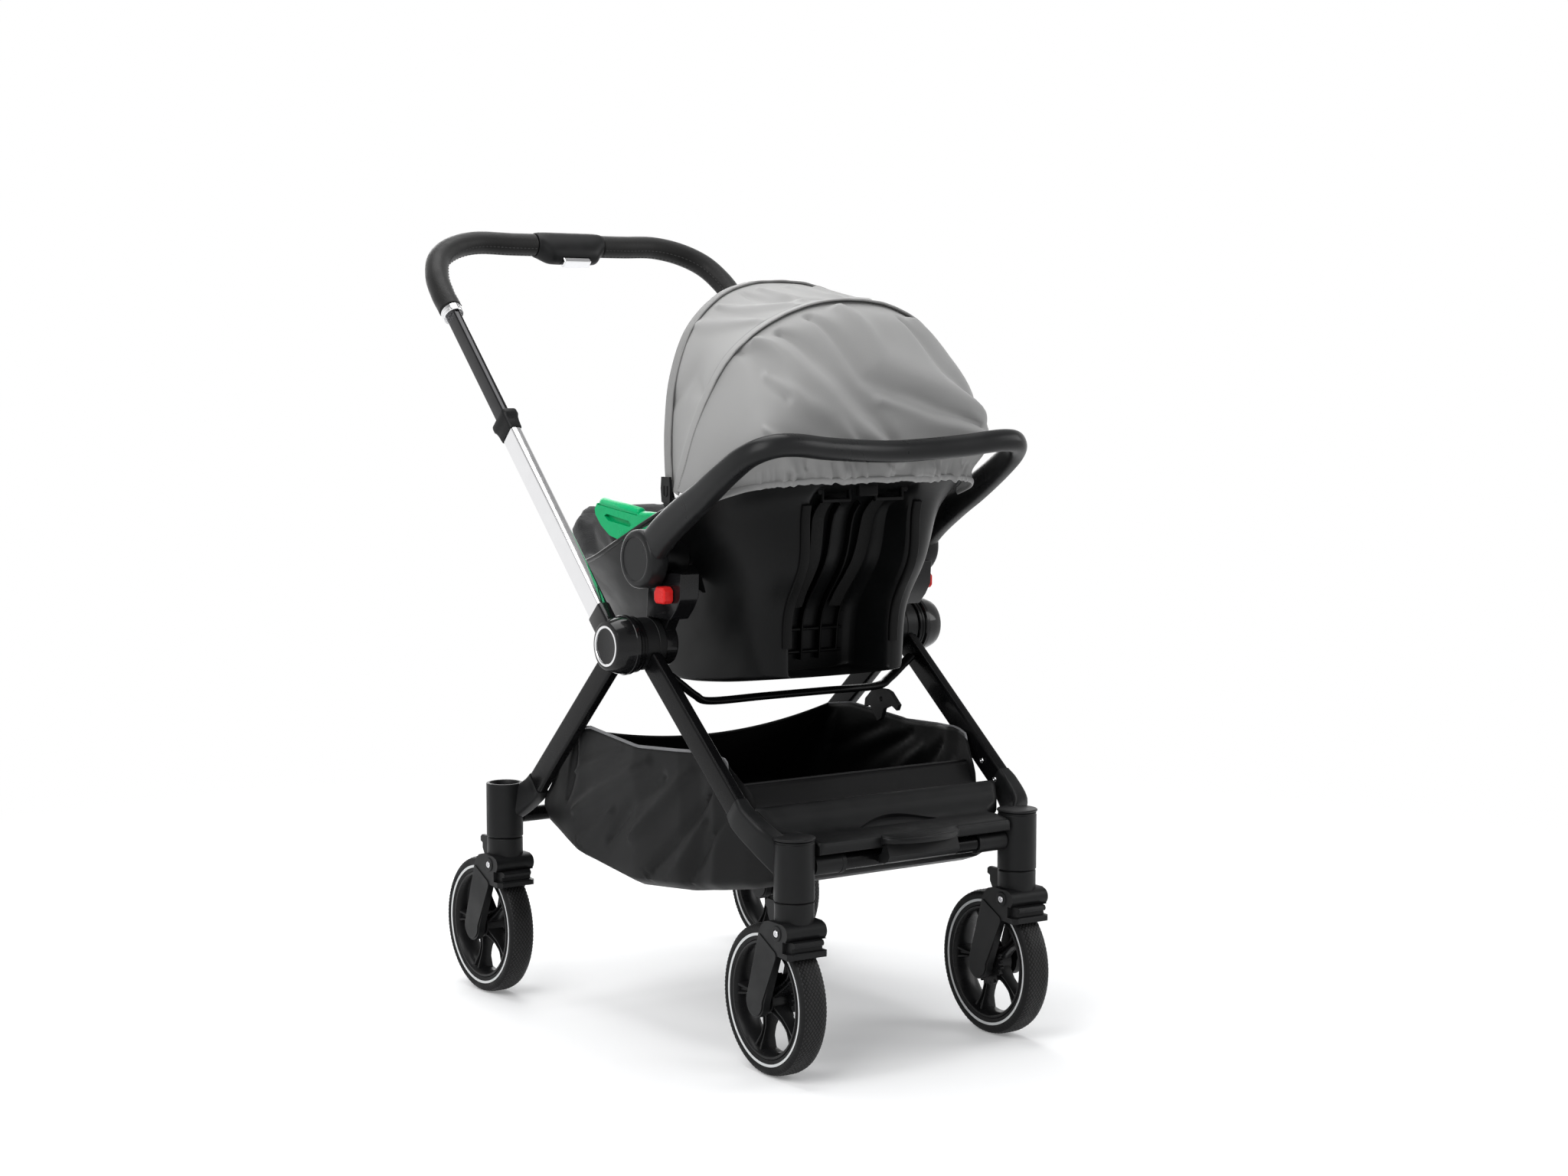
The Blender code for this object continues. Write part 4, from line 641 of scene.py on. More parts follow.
BOLT = bolt_tree("bolt_heads")
BOLT_R = 0.0036
for side, s in SIDES:
    # bolts that hold each leg end in its casting
    look = {"Radius": BOLT_R, "Facing": (-s, 0.0, 0.0), "Metal": STEEL}
    out = XDIR * (s * (LEG_T / 2 + 0.0016))
    a, b, d, n = leg_line(s, *NEAR_LEG)
    at = b + d * 0.004 - out
    grown("leg_bolts_" + side, [[at, at - d * 0.034]], BOLT, look, "chassis")
    a, b, d, n = leg_line(s, *FAR_LEG)
    grown("far_leg_bolt_" + side, [[b + d * 0.003 - out]], BOLT, look, "far_frame")
seams = []
for side, s in SIDES:
    base = Vector((s * HANDLE_X, HUB_Y, HUB_Z))

    def hollow(levels):
        return loft([laid(sec, base + ALONG * dist, XDIR, ACROSS) for dist, sec in levels], True)

    outer = rounded(LEG_T, LEG_W, LEG_CORNER, 7)
    inner = rounded(LEG_T - 0.0036, LEG_W - 0.0036, LEG_CORNER - 0.0015, 7)
    piece("chrome_tube_" + side, hollow([(SOCKET_END + 0.0003, outer), (LOWER_TUBE_END, outer),
                                         (LOWER_TUBE_END, inner), (SOCKET_END + 0.0003, inner)]), CHROME,
          "push_handle", "lower_tube_" + side)
    skirt = rounded(LEG_T + 0.0006, LEG_W + 0.0006, LEG_CORNER)
    throat = rounded(UPPER_T + 0.0006, UPPER_W + 0.0006, 0.003)
    wide = rounded(0.024, 0.043, 0.006)
    step = LOWER_TUBE_END + 0.0003
    collar = [(COLLAR_START, rounded(0.0184, 0.0344, 0.0045)),
              (COLLAR_START + 0.001, rounded(0.0194, 0.0354, 0.005)),
              (COLLAR_START + 0.011, rounded(0.0202, 0.0366, 0.005)),
              (COLLAR_START + 0.018, rounded(0.0214, 0.039, 0.005)), (COLLAR_START + 0.022, wide),
              (COLLAR_END - 0.004, wide), (COLLAR_END - 0.0022, rounded(0.0232, 0.0422, 0.006)),
              (COLLAR_END - 0.0008, rounded(0.019, 0.0356, 0.005)),
              (COLLAR_END, rounded(0.0166, 0.0325, 0.004)), (COLLAR_END, throat), (step, throat),
              (step, skirt), (COLLAR_START, skirt)]
    piece("height_collar_" + side, hollow(collar), MOULDED, "push_handle", "slide_collar_" + side,
          sharp=30)
    piece("black_tube_" + side, loft(sweep([base + ALONG * UPPER_TUBE_START, base + ALONG * UPPER_TUBE_END],
                                           rounded(UPPER_T, UPPER_W, 0.003))), BLACK_CHROME, "handle_top",
          "upper_tube_" + side)
    cuff = ((UPPER_TUBE_END + 0.0003, 0.0138, 0.0155), (UPPER_TUBE_END + 0.0012, 0.0147, 0.0163),
            (0.6035, 0.015, 0.0165), (0.604, 0.0145, 0.016), (0.605, 0.0145, 0.016),
            (0.6055, 0.015, 0.0165), (0.6105, 0.0149, 0.0164), (CUFF_END, 0.0138, 0.0155))
    bm = loft([laid(oval(p, q, 40), base + ALONG * dist, XDIR, ACROSS) for dist, p, q in cuff])
    piece("bright_cuff_" + side, bm, CHROME, "handle_top", "grip_cuff_" + side, sharp=25)
    grip_pts = ((0.2483, CUFF_END + 0.0006), (0.2484, 0.622), (0.2488, 0.645), (0.244, 0.68),
                (0.227, 0.716), (0.1945, 0.7405), (0.151, 0.753), (0.1, CROWN + 0.0002), (0.07, CROWN),
                (HOUSING_HALF + 0.0006, CROWN))
    path = smooth_path([Vector((s * x, HUB_Y, HUB_Z)) + ALONG * dist for x, dist in grip_pts], 10)
    inside = HUB_AXIS + ALONG * (CROWN - 0.1)

    def wrapped(t):
        """Section of the wrapped grip, rounded at both ends."""
        r = GRIP_R * (1 - 0.12 * max(0.0, 1 - min(t, 1 - t) * 55) ** 2)
        return oval(r, r, 32)

    rings = sweep(path, wrapped, ACROSS)
    for i, ring in enumerate(rings):
        towards = (inside - path[i]).normalized()
        for p in ring:
            lean = (p - path[i]).normalized().dot(towards)
            if lean > 0.93:
                p -= towards * 0.0014 * (lean - 0.93) / 0.07
    piece("leather_grip_" + side, loft(rings), LEATHER, "handle_top", "grip_" + side, sharp=60)
    for turn in (-0.42, 0.42):
        run = []
        for i in range(4, len(path) - 4):
            tan = heading(path, i)
            towards = square_to(tan, inside - path[i])
            run.append(path[i] + Matrix.Rotation(turn, 3, tan) @ towards * (GRIP_R + 0.0001))
        seams.append(run)
grown("grip_stitching", seams, STITCH, {"Spacing": 0.0062, "Length": 0.0044, "Thickness": 0.0014,
                                        "Thread": THREAD}, "handle_top")

crown = HUB_AXIS + ALONG * CROWN
# x, then the reach up, down and across of each section of the housing
half = [(-HOUSING_HALF, 0.0168, 0.0168, 0.0168), (-0.0545, 0.0176, 0.0178, 0.0176),
        (-0.05, 0.0185, 0.021, 0.0185),
        (-0.04, 0.019, 0.032, 0.019), (-0.028, 0.019, 0.0345, 0.019), (-0.01, 0.019, 0.0345, 0.019)]
rings = []
for x, up, down, wide in half + [(-x, *reach) for x, *reach in half[::-1]]:
    ring = []
    for i in range(56):
        ang = math.tau * i / 56
        u = math.sin(ang)
        u = u * up if u > 0 else -down * abs(u) ** 0.8
        ring.append(crown + XDIR * x + ALONG * u + ACROSS * (wide * math.cos(ang)))
    rings.append(ring)
housing = piece("fold_release_housing", loft(smooth_path(rings, 4)), MOULDED, None, sharp=35)


def crown_block(x, lo, hi, half_v):
    ring = laid(((-x, -half_v), (x, -half_v), (x, half_v), (-x, half_v)), crown, XDIR, ACROSS)
    return loft([[p + ALONG * lo for p in ring], [p + ALONG * hi for p in ring]])


def carved(ob, tool_bm, place=None):
    """Cuts a tool from a mesh once and keeps the result as the mesh."""
    cutter = piece("cutting_tool", tool_bm, MOULDED, None, place=place)
    cut = ob.modifiers.new("cut", "BOOLEAN")
    cut.object = cutter
    cut.solver = "EXACT"
    bpy.context.view_layer.update()
    done = evaluated(ob)
    ob.modifiers.clear()
    ob.data = done
    bpy.data.objects.remove(cutter)
    done.set_sharp_from_angle(angle=math.radians(35))


carved(housing, crown_block(0.0235, -0.05, -0.0215, 0.0075))
mount(housing, "handle_top", "fold_housing", 0.0006)
piece("fold_release_button", crown_block(0.0228, -0.041, -0.0275, 0.0068), CHROME, "fold_button",
      "fold_button", edge=0.0016)


# Swivel casters
# Four alike: a moulded fork with a stepped rubber spring block, an oblong cover on each
# arm, a barrel pivot with a bright screw, and a five-spoked wheel with a solid tyre.
WHEEL_R = 0.095
TYRE_HALF = 0.0183
TYRE_SIDE_R = WHEEL_R - 0.0055
TYRE_GAP = 0.0035
SLOT_HALF = TYRE_HALF + 0.0012
PIVOT_AT = (0, -0.006, 0.1885)
TRAIL = 0.0442
ARM_OUT = 0.029
AXLE_END_R = 0.0205
NEAR_TURN = math.radians(-3.0)
RUBBER = finish("tyre_rubber", (0.0055, 0.0055, 0.0058), (0.0095, 0.0095, 0.0098), 0.58, patch=50,
                grain=1800, bump=0.35)
# the tread's dark low colour is painted shade, which the grooves take through the tread mask below
TREAD = finish("tyre_tread", (0.0012, 0.0012, 0.0013), (0.019, 0.019, 0.0194), 0.46, patch=50, grain=1800,
               bump=1.0, depth=0.0014, shine=0.25)
TYRE_STEPS = 432
TREAD_ROWS = 86
TREAD_STEP = 0.0048
TREAD_LIFT = 0.0004
SPOKES = 5
RIDGE_DIP = 0.0042
COG_TEETH = 20


def crossed_bands(mat, operation, **sizes):
    """Two crossed sets of bands in a piece's own UV map, joined by an operation."""
    joined = node(mat.node_tree, "ShaderNodeMath", operation=operation)
    for socket, direction in enumerate(("X", "Y")):
        bands = node(mat.node_tree, "ShaderNodeTexWave", bands_direction=direction, **sizes)
        wire(mat.node_tree, ("Texture Coordinate", "UV", bands, "Vector"), (bands, "Fac", joined, socket))
    return joined


# slanting grooves cross to leave small diamond blocks; one unit of the UV map is one block
blocks = crossed_bands(TREAD, "MINIMUM", Scale=math.tau / 20)
# the same mask raises the blocks and paints the tread colour: darker in the grooves as painted shade, lighter on
# the block tops
tops_and_painted_groove_shade = node(TREAD.node_tree, "ShaderNodeMapRange", From_Min=0.1, From_Max=0.42)
wire(TREAD.node_tree, (blocks, 0, tops_and_painted_groove_shade, 0), (tops_and_painted_groove_shade, 0, "Bump", "Height"), (tops_and_painted_groove_shade, 0, "Mix", 0))
REFLECT = finish("grey_reflective_band", (0.6, 0.61, 0.61), (0.7, 0.71, 0.71), 0.42, grain=2500, bump=0.15)
WHEEL_PLASTIC = finish("wheel_plastic", (0.006, 0.006, 0.0063), (0.0095, 0.0095, 0.01), 0.3, grain=1500,
                       bump=0.12)


def axle_end(r):
    """Half circle under the axle, from its rear to its front."""
    angles = [-math.pi * i / 16 for i in range(1, 16)]
    return [(TRAIL + r * math.cos(ang), WHEEL_R + r * math.sin(ang)) for ang in angles]


def fork_outline():
    """Side view of a fork: arm, pivot barrel, spring bumper and the lip behind the tyre, in (y, z)."""
    barrel = [math.radians(218 - 118 * i / 8) for i in range(9)]
    return [(-0.017, 0.201), (0.014, 0.201), (0.023, 0.1985), (0.03, 0.193), (0.0348, 0.186),
            (TRAIL + AXLE_END_R, WHEEL_R), *axle_end(AXLE_END_R), (TRAIL - AXLE_END_R, WHEEL_R),
            (-0.004, 0.161), (-0.031, 0.1585), (-0.035, 0.1598), (-0.0354, 0.165), (-0.0338, 0.1668),
            (-0.0292, 0.1676), (-0.0286, 0.1722), (-0.033, 0.1732), (-0.0346, 0.1768), (-0.0326, 0.1795),
            (-0.025, 0.1806), *[(-0.0186 + 0.0104 * math.cos(ang), 0.1895 + 0.0104 * math.sin(ang))
                                for ang in barrel]]


def cover_outline():
    """Oblong cover of a fork arm: round at the axle, cut off at a slant above."""
    r = AXLE_END_R - 0.0025
    return [(0.0325, 0.1822), (TRAIL + r, WHEEL_R + 0.002), *axle_end(r), (TRAIL - r, WHEEL_R + 0.002),
            (-0.0042, 0.156), (-0.0052, 0.161), (-0.003, 0.1648)]


def block(outline, low, high):
    """Upright block over an outline of (x, y) pairs."""
    return loft([[Vector((a, b, low)) for a, b in outline], [Vector((a, b, high)) for a, b in outline]])


def mirrored(half):
    """Pairs followed by the same pairs on the other side, so that the outline closes."""
    return half + [(r, -x) for r, x in half[::-1]]


def spoke_section(r, turn):
    """One ring of a double-ridged spoke at radius r."""
    inner, outer = max(0.0, (r - 0.052) / 0.016), max(0.0, (r - 0.05) / 0.018)
    half_w = 0.0062 - 0.0016 * math.sin(math.pi * (r - 0.016) / 0.052) + 0.003 * inner
    half_x = 0.0125 - 0.0045 * min(1.0, (r - 0.016) / 0.02) + 0.004 * outer
    ridge = [(half_w * a, half_x * b - dip) for a, b, dip in
             ((1, 0.8, 0), (0.8, 1, 0), (0.45, 1, 0), (0.22, 1, RIDGE_DIP))]
    shape = [(-half_w, -half_x * 0.5), *[(-a, x) for a, x in ridge], *ridge[::-1],
             *[(a, -x) for a, x in ridge], *[(-a, -x) for a, x in ridge[:0:-1]]]
    out = Vector((0, math.cos(turn), math.sin(turn)))
    tan = Vector((0, -math.sin(turn), math.cos(turn)))
    return [out * r + tan * a + Vector((x, 0, 0)) for a, x in shape]


def rim_mesh(brake_side):
    """Tyre seat, hub barrel and spokes, with the brake's cog on the near wheels."""
    seat = [(0.0739, 0.015), (0.0736, 0.0158), (0.0722, 0.0162), (0.0706, 0.0158), (0.069, 0.0135),
            (0.0668, 0.0085)]
    seat = [(0.0739, -0.015), *seat, (0.066, 0.0), *[(r, -x) for r, x in seat[:0:-1]]]
    bm = lathe(seat, (0, 0, 0), 96, True)
    hub = [(0.007, -0.019), (0.0105, -0.019), (0.0112, -0.0184), (0.012, -0.015), (0.0165, -0.0145),
           (0.0178, -0.0135)]
    lathe(mirrored(hub), (0, 0, 0), 48, True, bm)
    for k in range(SPOKES):
        turn = math.tau * k / SPOKES
        loft([spoke_section(0.015 + 0.053 * i / 10, turn) for i in range(11)], False, bm)
    if brake_side:
        count = 4 * COG_TEETH
        cog = [(0.03 if i % 4 in (1, 2) else 0.0258, math.tau * i / count) for i in range(count)]
        prism([(r * math.cos(ang), r * math.sin(ang)) for r, ang in cog], brake_side * 0.0085,
              brake_side * 0.014, bm)
    return bm


def tyre_mesh():
    """Solid tyre with a fine diamond tread, toothed shoulders and a reflective ring on each side."""
    half = TYRE_HALF
    side = [(0.0745, 0.015, 0), (0.077, 0.0158, 0), (0.0793, 0.0162, 0), (0.0794, 0.01665, 1),
            (0.0827, 0.0171, 1), (0.0829, 0.01675, 0), (TYRE_SIDE_R - 0.003, half - 0.0002, 0),
            (TYRE_SIDE_R, half - 0.0006, 0)]
    crown_x = [half - 0.003, half - 0.0058, half - 0.0088, 0.0072, 0.0046, 0.0023, 0.0]
    profile = [(r, x, m, 0.0) for r, x, m in side]
    for x in crown_x:
        edge = max(0.0, (abs(x) - (half - 0.012)) / 0.012)
        profile.append((WHEEL_R - 0.003 * edge ** 2 - 0.0004, x, 0, 1.0))
    profile += [(r, -x, m, w) for r, x, m, w in profile[-2::-1]]
    mats = [1 if p[2] and q[2] else 0 for p, q in zip(profile, profile[1:])] + [0]
    for i in range(len(side), len(profile) - len(side) - 1):
        mats[i] = 2
    rings = []
    for r, x, _, tread in profile:
        ring = []
        for j in range(TYRE_STEPS):
            ang = math.tau * j / TYRE_STEPS
            lift = 0.0
            if tread:
                a, b = TREAD_ROWS * j / TYRE_STEPS + x / TREAD_STEP, TREAD_ROWS * j / TYRE_STEPS - x / TREAD_STEP
                lift = TREAD_LIFT * min(-math.cos(math.tau * a), -math.cos(math.tau * b))
            elif abs(x) > half - 0.0012:
                lift = TREAD_LIFT * (1 if j % 4 < 2 else -1)
            ring.append(Vector((x, (r + lift) * math.cos(ang), (r + lift) * math.sin(ang))))
        rings.append(ring)
    bm = loft(rings, True, mats=mats)
    uv = bm.loops.layers.uv.new("UVMap")
    for face in bm.faces:
        start = math.atan2(face.verts[0].co.z, face.verts[0].co.y)
        for loop in face.loops:
            p = loop.vert.co
            ang = math.atan2(p.z, p.y)
            turn = TREAD_ROWS * (ang / math.tau + round((start - ang) / math.tau))
            loop[uv].uv = (turn + p.x / TREAD_STEP, turn - p.x / TREAD_STEP)
    return bm


for end, track, y_post, turn in (("near", NEAR_TRACK, -POST_Y, NEAR_TURN), ("far", FAR_TRACK, POST_Y, 0.0)):
    for side, s in SIDES:
        key = end + "_" + side
        at_post = Matrix.Translation((s * track / 2, y_post + SHIFT, 0)) @ Matrix.Rotation(turn, 4, "Z")
        at_axle = at_post @ Matrix.Translation((0, TRAIL, WHEEL_R))
        fork = piece(key + "_fork_body", prism(fork_outline(), -ARM_OUT, ARM_OUT), MOULDED, None,
                     place=at_post)
        slot = lathe([(WHEEL_R + TYRE_GAP, -SLOT_HALF), (WHEEL_R + TYRE_GAP, SLOT_HALF)],
                     (0, TRAIL, WHEEL_R), 96)
        carved(fork, slot, at_post)
        for x in (-1, 1):
            # the bumper is narrower than the pivot barrel, and the lip's corners are cut off
            for low, outline in ((0.1662, ((0.02, -0.042), (0.036, -0.042), (0.036, -0.0185),
                                           (0.0235, -0.0185))),
                                 (0.15, ((0.018, -0.042), (0.036, -0.042), (0.036, -0.02)))):
                carved(fork, block([(x * a, b) for a, b in outline], low, 0.1802), at_post)
        mount(fork, key + "_caster", key + "_fork", 0.0013)
        neck = turned([(0.0215, 0.196), (POST_R - 0.001, 0.1975), (POST_R - 0.0006, 0.199),
                       (POST_R - 0.0006, POST_SEAM - 0.0018),
                       (POST_R - 0.002, POST_SEAM - 0.0003)], (0, 0, 0))
        for x in (-1, 1):
            lathe([(0.0098, x * 0.02), (0.0098, x * 0.0296), (0.009, x * 0.0304), (0.0058, x * 0.0304),
                   (0.0052, x * 0.0296)], PIVOT_AT, 40, False, neck)
            prism(cover_outline(), x * (ARM_OUT - 0.001), x * (ARM_OUT + 0.0014), neck)
            # cheeks of the swivel lock, on the wheel side below the seam
            prism(((0.015, 0.196), (0.0345, 0.196), (0.0395, 0.204), (0.0395, 0.211), (0.045, 0.213),
                   (0.045, 0.2195), (0.0405, 0.2225), (0.015, 0.2225)), x * 0.0086, x * 0.0138, neck)
        piece(key + "_neck_and_covers", neck, MOULDED, key + "_caster", edge=0.0006,
              place=at_post)
        screws = bmesh.new()
        for x in (-1, 1):
            lathe([(0.004, x * 0.0295), (0.0046, x * 0.0299), (0.0046, x * 0.0307), (0.0038, x * 0.0314),
                   (0.0022, x * 0.0314), (0.0018, x * 0.0302)], PIVOT_AT, 24, False, screws)
        piece(key + "_pivot_screws", screws, STEEL, key + "_caster", place=at_post)
        piece(key + "_wheel_rim", rim_mesh(-s if end == "near" else 0), WHEEL_PLASTIC, key + "_wheel",
              key + "_rim", edge=0.0005, place=at_axle)
        piece(key + "_wheel_tyre", tyre_mesh(), [RUBBER, REFLECT, TREAD], key + "_wheel", key + "_tyre",
              sharp=50, place=at_axle)


# Foot plate and brake pedal
# A moulded plate bridges the near posts and climbs to a ridge by the basket, with a shallow
# lens-shaped recess in its slope. The pedal below it is a ribbed lens on a lug.
PLATE_COLUMNS = 160
EDGE_FALL = 0.003
PLATE = ((-0.314, -0.0278, 0.29, 0.2815), (-0.31, -0.0255, 0.295, 0.2795), (-0.29, -0.0255, 0.2985, 0.2795),
         (-0.27, -0.0278, 0.301, 0.285), (-0.256, -0.002, 0.309, 0.294), (-0.245, 0.007, 0.321, 0.303),
         (-0.236, 0.0122, 0.33, 0.311), (-0.229, 0.0165, 0.3305, 0.314), (-0.225, 0.0185, 0.327, 0.317))
LENS_HALF = 0.062
LENS_DEPTH = 0.0042
profile = smooth_path([[Vector((m, y, top)), Vector((m, y, low))] for y, m, top, low in PLATE], 8)
bm = bmesh.new()
rows = []
for (top, low) in profile:
    w = NEAR_TRACK / 2 + top.x
    row = []
    for j in range(PLATE_COLUMNS + 1):
        k = -1 + 2 * j / PLATE_COLUMNS
        fall = EDGE_FALL * max(0.0, (abs(k) - 0.965) / 0.035) ** 2
        row.append(Vector((w * k, top.y, top.z - fall)))
    row += [Vector((w * (1 - 2 * j / PLATE_COLUMNS), low.y, low.z)) for j in range(PLATE_COLUMNS + 1)]
    rows.append(row)
loft(rows, False, bm)
plate = piece("foot_rest_plate", bm, MOULDED, None, sharp=32)
# the lens is cut at right angles to the slope
lens = []
for i in range(49):
    x = -LENS_HALF + 2 * LENS_HALF * i / 48
    reach = max(0.0, 1 - (x / LENS_HALF) ** 2)
    lens.append((x, -0.276 - 0.002 * reach, -0.2752 + 0.0185 * reach))
outline = [(x, low) for x, low, _ in lens] + [(x, high) for x, _, high in lens[-2:0:-1]]
slope = [Vector((x, y, 0.2995 + (y + 0.278) * 0.4)) for x, y in outline]
carved(plate, loft([[p - Vector((0, -0.4, 1)) * LENS_DEPTH for p in slope],
                    [p + Vector((0, -0.4, 1)) * 0.02 for p in slope]]))
mount(plate, "chassis", "foot_plate", 0.0005)

PAD_Y = -0.3158
PAD_TOP = 0.296
PAD_HALF = 0.06
PAD_REACH = 0.031
PAD_RIB = 0.0013
rings = []
for i in range(41):
    x = -PAD_HALF + 2 * PAD_HALF * i / 40
    reach = PAD_REACH * math.sqrt(max(0.0, 1 - (x / 0.0605) ** 2)) + 0.0004
    ring = []
    for j in range(67):
        t = j / 66
        rib = PAD_RIB * max(0.0, math.sin(math.pi * 11 * t)) if 0.09 < t < 0.82 else 0.0
        ring.append(Vector((x, PAD_Y - reach * 0.93 * t, PAD_TOP - 0.003 * t ** 2 - 0.0006 + rib)))
    ring += [Vector((x, PAD_Y - reach, PAD_TOP - 0.0062)),
             Vector((x, PAD_Y - reach * 0.95, PAD_TOP - 0.0096)),
             Vector((x, PAD_Y - reach * 0.5, PAD_TOP - 0.0112)), Vector((x, PAD_Y, PAD_TOP - 0.012))]
    rings.append(ring)
bm = loft(rings)
lug = ((-0.321, 0.288), (-0.328, 0.27), (-0.324, 0.263), (-0.318, 0.2605), (-0.3058, 0.26),
       (-0.3058, 0.2695), (-0.311, 0.272), (-0.3159, 0.285))
prism(lug, -0.056, 0.056, bm)
piece("ribbed_brake_pedal", bm, MOULDED, "brake_pedal", "brake_pedal", sharp=38)


# Under-seat bar, fold hook and the catches
# A flat steel bar bent up at both ends, and a moulded hook that hangs from it.
BAR_Y = -0.05
BAR_Z = 0.441
bar_end = NEAR_LEG[0] + NEAR_LEG[1] * 0.07 - LEG_T / 2 - 0.0038
half = [(-bar_end, BAR_Z + 0.037), (-0.18, BAR_Z + 0.025), (-0.158, BAR_Z + 0.009), (-0.135, BAR_Z),
        (-0.05, BAR_Z)]
bar = [(x, BAR_Y, z) for x, z in half + [(-x, z) for x, z in half[::-1]]]
piece("under_seat_bar", loft(sweep(smooth_path(bar, 8), oval(0.005, 0.0088, 24), (0, 0, 1))), BLACK_PAINT,
      "chassis", "seat_bar")


def dress(name, mat, edge):
    """Gives a CAD node that keeps its shape a finish and soft edges."""
    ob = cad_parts[name]
    ob.data.materials.clear()
    ob.data.materials.append(mat)
    weld = ob.modifiers.new("weld", "WELD")
    weld.merge_threshold = 0.00001
    flat = ob.modifiers.new("flat", "DECIMATE")
    flat.decimate_type = "DISSOLVE"
    flat.angle_limit = math.radians(1)
    soften(ob, edge)


RED = finish("red_plastic", (0.6, 0.016, 0.016), (0.68, 0.022, 0.02), 0.3, patch=90, grain=900, bump=0.05)
for end in ("near", "far"):
    for side, s in SIDES:
        dress(end + "_" + side + "_lock_tab", GLOSSY, 0.0012)
for side, s in SIDES:
    dress("release_button_" + side, RED, 0.0022)
dress("fold_hook", MOULDED, 0.0012)


# Carrier shell
# One deep injection-moulded bucket in black polypropylene: two rear legs with a tall recess
# between them, flared walls, a rolled rim and a boss under each pivot of the handle.
RIM = ((0, -0.235), (0.055, -0.234), (0.074, -0.233), (0.079, -0.2325), (0.1, -0.23), (0.13, -0.222),
       (0.165, -0.2), (0.188, -0.16), (0.195, -0.1), (0.195, -0.03), (0.193, 0.08), (0.185, 0.16),
       (0.163, 0.24), (0.145, 0.29), (0.12, 0.335), (0.08, 0.365), (0, 0.372))
BASE = ((0, -0.15), (0.055, -0.15), (0.072, -0.15), (0.077, -0.15), (0.085, -0.152), (0.1, -0.15),
        (0.113, -0.138), (0.117, -0.11), (0.118, -0.06), (0.118, -0.01), (0.117, 0.06), (0.112, 0.13),
        (0.102, 0.2), (0.092, 0.245), (0.075, 0.28), (0.05, 0.3), (0, 0.307))
SHELL_LOW = ((-0.15, 0.475), (-0.05, 0.462), (0.049, 0.453), (0.15, 0.468), (0.25, 0.505), (0.31, 0.532))
SHELL_RIM = ((-0.235, 0.742), (-0.2, 0.735), (-0.16, 0.715), (-0.1, 0.702), (-0.05, 0.6945), (0.0, 0.675),
             (0.076, 0.645), (0.161, 0.615), (0.25, 0.6), (0.372, 0.6))
FLARE_X = ((0.0, 0.0), (0.3, 0.1), (0.42, 0.17), (0.55, 0.28), (0.85, 0.68), (1.0, 1.0))
FLARE_BACK = ((0.0, 0.0), (0.3, 0.0), (0.42, 0.19), (0.55, 0.53), (0.85, 0.55), (1.0, 1.0))
RECESS = ((0.0, 0.075), (0.3, 0.07), (0.42, 0.062), (0.55, 0.06), (0.85, 0.045), (0.93, 0.0))
BACK_LINE = ((0.0, -0.15), (0.3, -0.15), (0.42, -0.166), (0.55, -0.195), (0.85, -0.197), (1.0, -0.235))
WALL = 0.007
PIVOT_Y = -0.027
PIVOT_Z = 0.628
PIVOT = Vector((0, PIVOT_Y, PIVOT_Z))
DISC_IN = 0.2065
SHELL_PLASTIC = finish("grained_shell_plastic", (0.0035, 0.0036, 0.0038), (0.0058, 0.006, 0.0062), 0.36,
                       patch=16, grain=1300, bump=0.35, shine=0.12)


def table(pairs, at):
    """Straight-line reading of a small table of (position, value) pairs."""
    if at <= pairs[0][0]:
        return pairs[0][1]
    for (a, va), (b, vb) in zip(pairs, pairs[1:]):
        if at <= b:
            return va + (vb - va) * (at - a) / (b - a)
    return pairs[-1][1]


def shell_ring(t, inset, notch):
    """One outline of the shell at height share t, pulled inward by inset."""
    half = []
    fx = table(FLARE_X, t)
    fb = table(FLARE_BACK, t)
    for i, ((xr, yr), (xb, yb)) in enumerate(zip(RIM, BASE)):
        back = min(1.0, max(0.0, -yb / 0.12))
        fy = fb * back + t * (1 - back)
        low = table(SHELL_LOW, yb)
        y = yb + (yr - yb) * fy + (table(RECESS, t) if notch and i < 3 else 0.0)
        half.append([xb + (xr - xb) * fx, y, low + (table(SHELL_RIM, yr) - low) * t])
    if inset > 0.0:
        depth = 0.0 if notch else max(table(RECESS, t), 0.0)
        mid = 0.05
        for i, p in enumerate(half):
            p[0] = max(p[0] - inset, 0.0) if i < 15 else min(p[0] * 0.94, half[14][0] * 0.7)
            if p[1] < mid:
                p[1] += inset * min(1.0, (mid - p[1]) / (mid + 0.15))
            else:
                p[1] -= inset * min(1.0, (p[1] - mid) / 0.22)
            if i < 6:
                p[1] = max(p[1], half[0][1])
        if depth > 0.0:
            y_back = table(BACK_LINE, t) + depth + inset + 0.002
            for i, p in enumerate(half):
                p[1] = max(p[1], y_back + i * 0.0006)
    ring = [Vector(p) for p in half]
    return ring + [Vector((-p[0], p[1], p[2])) for p in half[15:0:-1]]


def tub(outer, inner):
    """Closed wall of an open tub, with flat ends under the outside and over the inside floor."""
    bm = bmesh.new()
    rows = [[bm.verts.new(p) for p in ring] for ring in outer + inner]
    count = len(rows[0])
    for a, b in zip(rows, rows[1:]):
        for j in range(count):
            bm.faces.new((a[j], a[(j + 1) % count], b[(j + 1) % count], b[j]))
    for row, flip in ((rows[0], True), (rows[-1], False)):
        for i in range(16):
            quad = [row[i], row[i + 1], row[31 - i], row[(32 - i) % 32]]
            quad = list(dict.fromkeys(quad))
            bm.faces.new(quad if flip else quad[::-1])
    return bm


